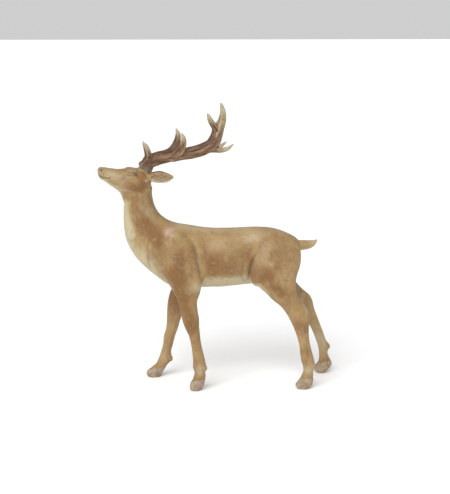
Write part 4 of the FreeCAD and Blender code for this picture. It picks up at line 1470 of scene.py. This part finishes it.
def make_antler(name, side, material):
    """An antler with its knobbly collar and grooved branches, cut flat at its seat."""
    clay = Clay((-176, -66, 462), (32, 2, 618), ANTLER_VOXEL)
    centre, (axis, first, second) = ANTLER_SEAT, axes_of(ANTLER_AXIS)
    heights = np.array([-6, 0.0, 3.4, 6.0])[:, None]
    radii = np.array([11.4, 11.6, 11.4, 10.2])[:, None]
    collar = ellipse_rings(centre + axis * heights, first * radii, second * radii)
    clay.add(clay.measure(ring_form(collar)), 1)
    for knob in range(2 * KNOBS):
        angle = knob * 2 * math.pi / KNOBS + rng.normal(0, 0.12)
        out = first * math.cos(angle) + second * math.sin(angle)
        size = rng.uniform(1.4, 2.4)
        place = centre + out * rng.uniform(10.2, 11.4) + axis * rng.uniform(0.6, 6.5)
        clay.add(clay.measure_ball(place, (size, size, size)), 1.2)
    lines = []
    for branch in ANTLER_BRANCHES:
        sections = antler_sections(branch, side)
        clay.add(clay.measure(branch_form(sections, BRANCH_FLAT[branch])), 6)
        rows = spline([(*point, radius) for point, radius in sections], 14)
        lines.append((rows[:, :3], rows[:, 3], *frames_along(rows[:, :3])))
    skin = clay.skin()
    found = nearest_branch(skin.points, lines)
    on_beam = found["seed"] == 0
    pale_root = np.array([PALE_ROOTS[branch] for branch in ANTLER_BRANCHES])[found["seed"].astype(int)]
    out = pale_root + (1 - pale_root) * found["share"]
    rough = fade(out, 0.92, 0.5)
    ring = found["radius"] * 0.62
    stretched = found["along"] * 0.055 + found["seed"] * 9
    wrap = np.stack([stretched, np.cos(found["angle"]) * ring, np.sin(found["angle"]) * ring], -1)
    swirl = found["angle"] * 3 + noise(skin.points, 26, 15) * 2.6 + found["seed"] * 1.7
    grooves = 0.6 * noise(wrap, 2.1, 11) + 0.42 * np.cos(swirl)
    fine = noise(wrap * (2.2, 1, 1), 0.8, 12)
    pearls = np.clip(noise(skin.points, 3.4, 13), 0, 1) ** 2
    low = fade(found["along"], 66, 16) * on_beam
    press = (grooves * 0.85 + fine * 0.35) * rough * np.clip(found["radius"] / 7, 0.3, 1)
    skin.push(press + pearls * low * 1.3 + noise(skin.points, 12, 14) * 0.3 * rough)
    skin.paint["ridge"] = np.clip(0.5 + 0.5 * grooves + 0.25 * fine, 0, 1)
    skin.paint["outward"] = np.clip(out, 0, 1)
    height = (skin.points - centre) @ axis
    skin.paint["foot"] = fade(height, 15, 3)
    if side == RIGHT:
        skin.points = skin.points * (1, -1, 1)
        skin.quads = skin.quads[:, ::-1]
        centre, axis = centre * (1, -1, 1), axis * (1, -1, 1)
    skin.points = turned(skin.points)
    centre, axis = turned(centre), turned_direction(axis)
    whole = mesh_of(skin)
    slice_at(whole, centre, axis)
    piece(name, whole, lambda m: (m - Vector(centre)).dot(Vector(axis)) > 0, material,
          body=f"{name}_body")


# ---------------------------------------------------------------- assembly


EAR_SEAT_REACH = 15  # how far from the middle of an ear's seat its cut reaches
ANTLER_SEAT_REACH = 16


def make_head(hair, coat):
    """The head and neck, in finer clay than the body's, cut at the neck joint and the seats."""
    clay = Clay((-264, -62, 225), (-92, 58, 488), HEAD_VOXEL)
    melt_body(clay)
    skin = paint_body(sculpt(clay.skin(), hair))
    whole = mesh_of(skin)
    slice_at(whole, (NECK_JOINT[0][0], 0, NECK_JOINT[0][1]), seam_normal())
    _, run, _, _ = ear_frame()
    cuts = []
    for side in (LEFT, RIGHT):
        mirror = np.array((1, -side, 1))
        foot = np.array(ear_sections(EAR_SECTIONS[:1], side)[0][0])
        centre, axis, _, _ = seat_axes(side)
        cuts.append((Vector(turned(foot * mirror)), Vector(turned_direction(run * mirror)), EAR_SEAT_REACH))
        cuts.append((Vector(centre), Vector(axis), ANTLER_SEAT_REACH))
    for place, normal, reach in cuts:
        slice_at(whole, place, normal, lambda m: (m - place).length < reach + 2)

    def keep(m):
        if behind_neck_joint(m):
            return False
        return not any((m - p).length < r and (m - p).dot(n) > 0 for p, n, r in cuts)

    mouths = [seat_axes(side) for side in (LEFT, RIGHT)]

    piece("head_and_neck_casting", whole, keep, coat, mouths=mouths)
    whole.free()


hair = Hair(count=5200, length=(8.0, 17.0), width=1.25)
coat = coat_material()
make_body(hair, coat)
make_head(hair, coat)
ear_paint = ear_material()
antler_paint = antler_material()
for name, side in SIDES.items():
    make_ear(f"{name}_ear", side, ear_paint)
    make_antler(f"{name}_antler", side, antler_paint)

steel = metal_material("drawn_steel", srgb(176, 178, 180), 0.3)
brass = metal_material("turned_brass", srgb(205, 172, 98), 0.28)
for name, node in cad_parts.items():
    if node.hide_render:
        continue
    for place in node.material_slots:
        place.material = brass if name.endswith("_socket") else steel


# ---------------------------------------------------------------- floor, light and camera


def floor():
    """A wide sheet of white paper under the hooves."""
    mesh = bpy.data.meshes.new("floor")
    reach = 30.0
    corners = [(-reach, -reach, 0), (reach, -reach, 0), (reach, reach, 0), (-reach, reach, 0)]
    mesh.from_pydata(corners, [], [(0, 1, 2, 3)])
    p = Paint("floor_paper")
    p.finish(Base_Color=srgb(254, 254, 254), Roughness=0.9)
    mesh.materials.append(p.material)
    obj = bpy.data.objects.new("floor", mesh)
    bpy.context.scene.collection.objects.link(obj)


def lamp(name, place, target, size, power):
    """A flat soft lamp that faces its target, its size in metres and its power in watts."""
    light = bpy.data.lights.new(name, "AREA")
    light.shape = "RECTANGLE"
    light.size, light.size_y = size
    light.energy = power
    obj = bpy.data.objects.new(name, light)
    obj.location = place
    obj.rotation_euler = (Vector(target) - Vector(place)).to_track_quat("-Z", "Y").to_euler()
    bpy.context.scene.collection.objects.link(obj)


def soft_box(direction, strength, spread):
    """A big soft light that falls the same way everywhere, its spread in degrees."""
    light = bpy.data.lights.new("soft_box", "SUN")
    light.energy = strength
    light.angle = math.radians(spread)
    obj = bpy.data.objects.new("soft_box", light)
    obj.rotation_euler = Vector(direction).to_track_quat("-Z", "Y").to_euler()
    bpy.context.scene.collection.objects.link(obj)


def camera():
    """Looks at the stag from its left, a little ahead of it and from above."""
    lens = bpy.data.cameras.new("camera")
    lens.lens = 76.37  # focal length in millimetres
    obj = bpy.data.objects.new("camera", lens)
    place, target = Vector((-0.1409, -2.1725, 0.7889)), Vector((0.01099, 0, 0.3021))
    obj.location = place
    obj.rotation_euler = (target - place).to_track_quat("-Z", "Y").to_euler()
    bpy.context.scene.collection.objects.link(obj)
    bpy.context.scene.camera = obj


floor()
middle = (0, 0, 0.3)
lamp("fill", (1.9, -2.0, 1.2), middle, (1.8, 1.8), 5)
soft_box(direction=(0.42, 0.66, -0.74), strength=2.3, spread=45)
world = bpy.data.worlds.new("studio")
world.use_nodes = True
world.node_tree.nodes["Background"].inputs["Color"].default_value = (1, 1, 1, 1)
world.node_tree.nodes["Background"].inputs["Strength"].default_value = 0.62
bpy.context.scene.world = world
bpy.context.scene.view_settings.view_transform = "Standard"
camera()
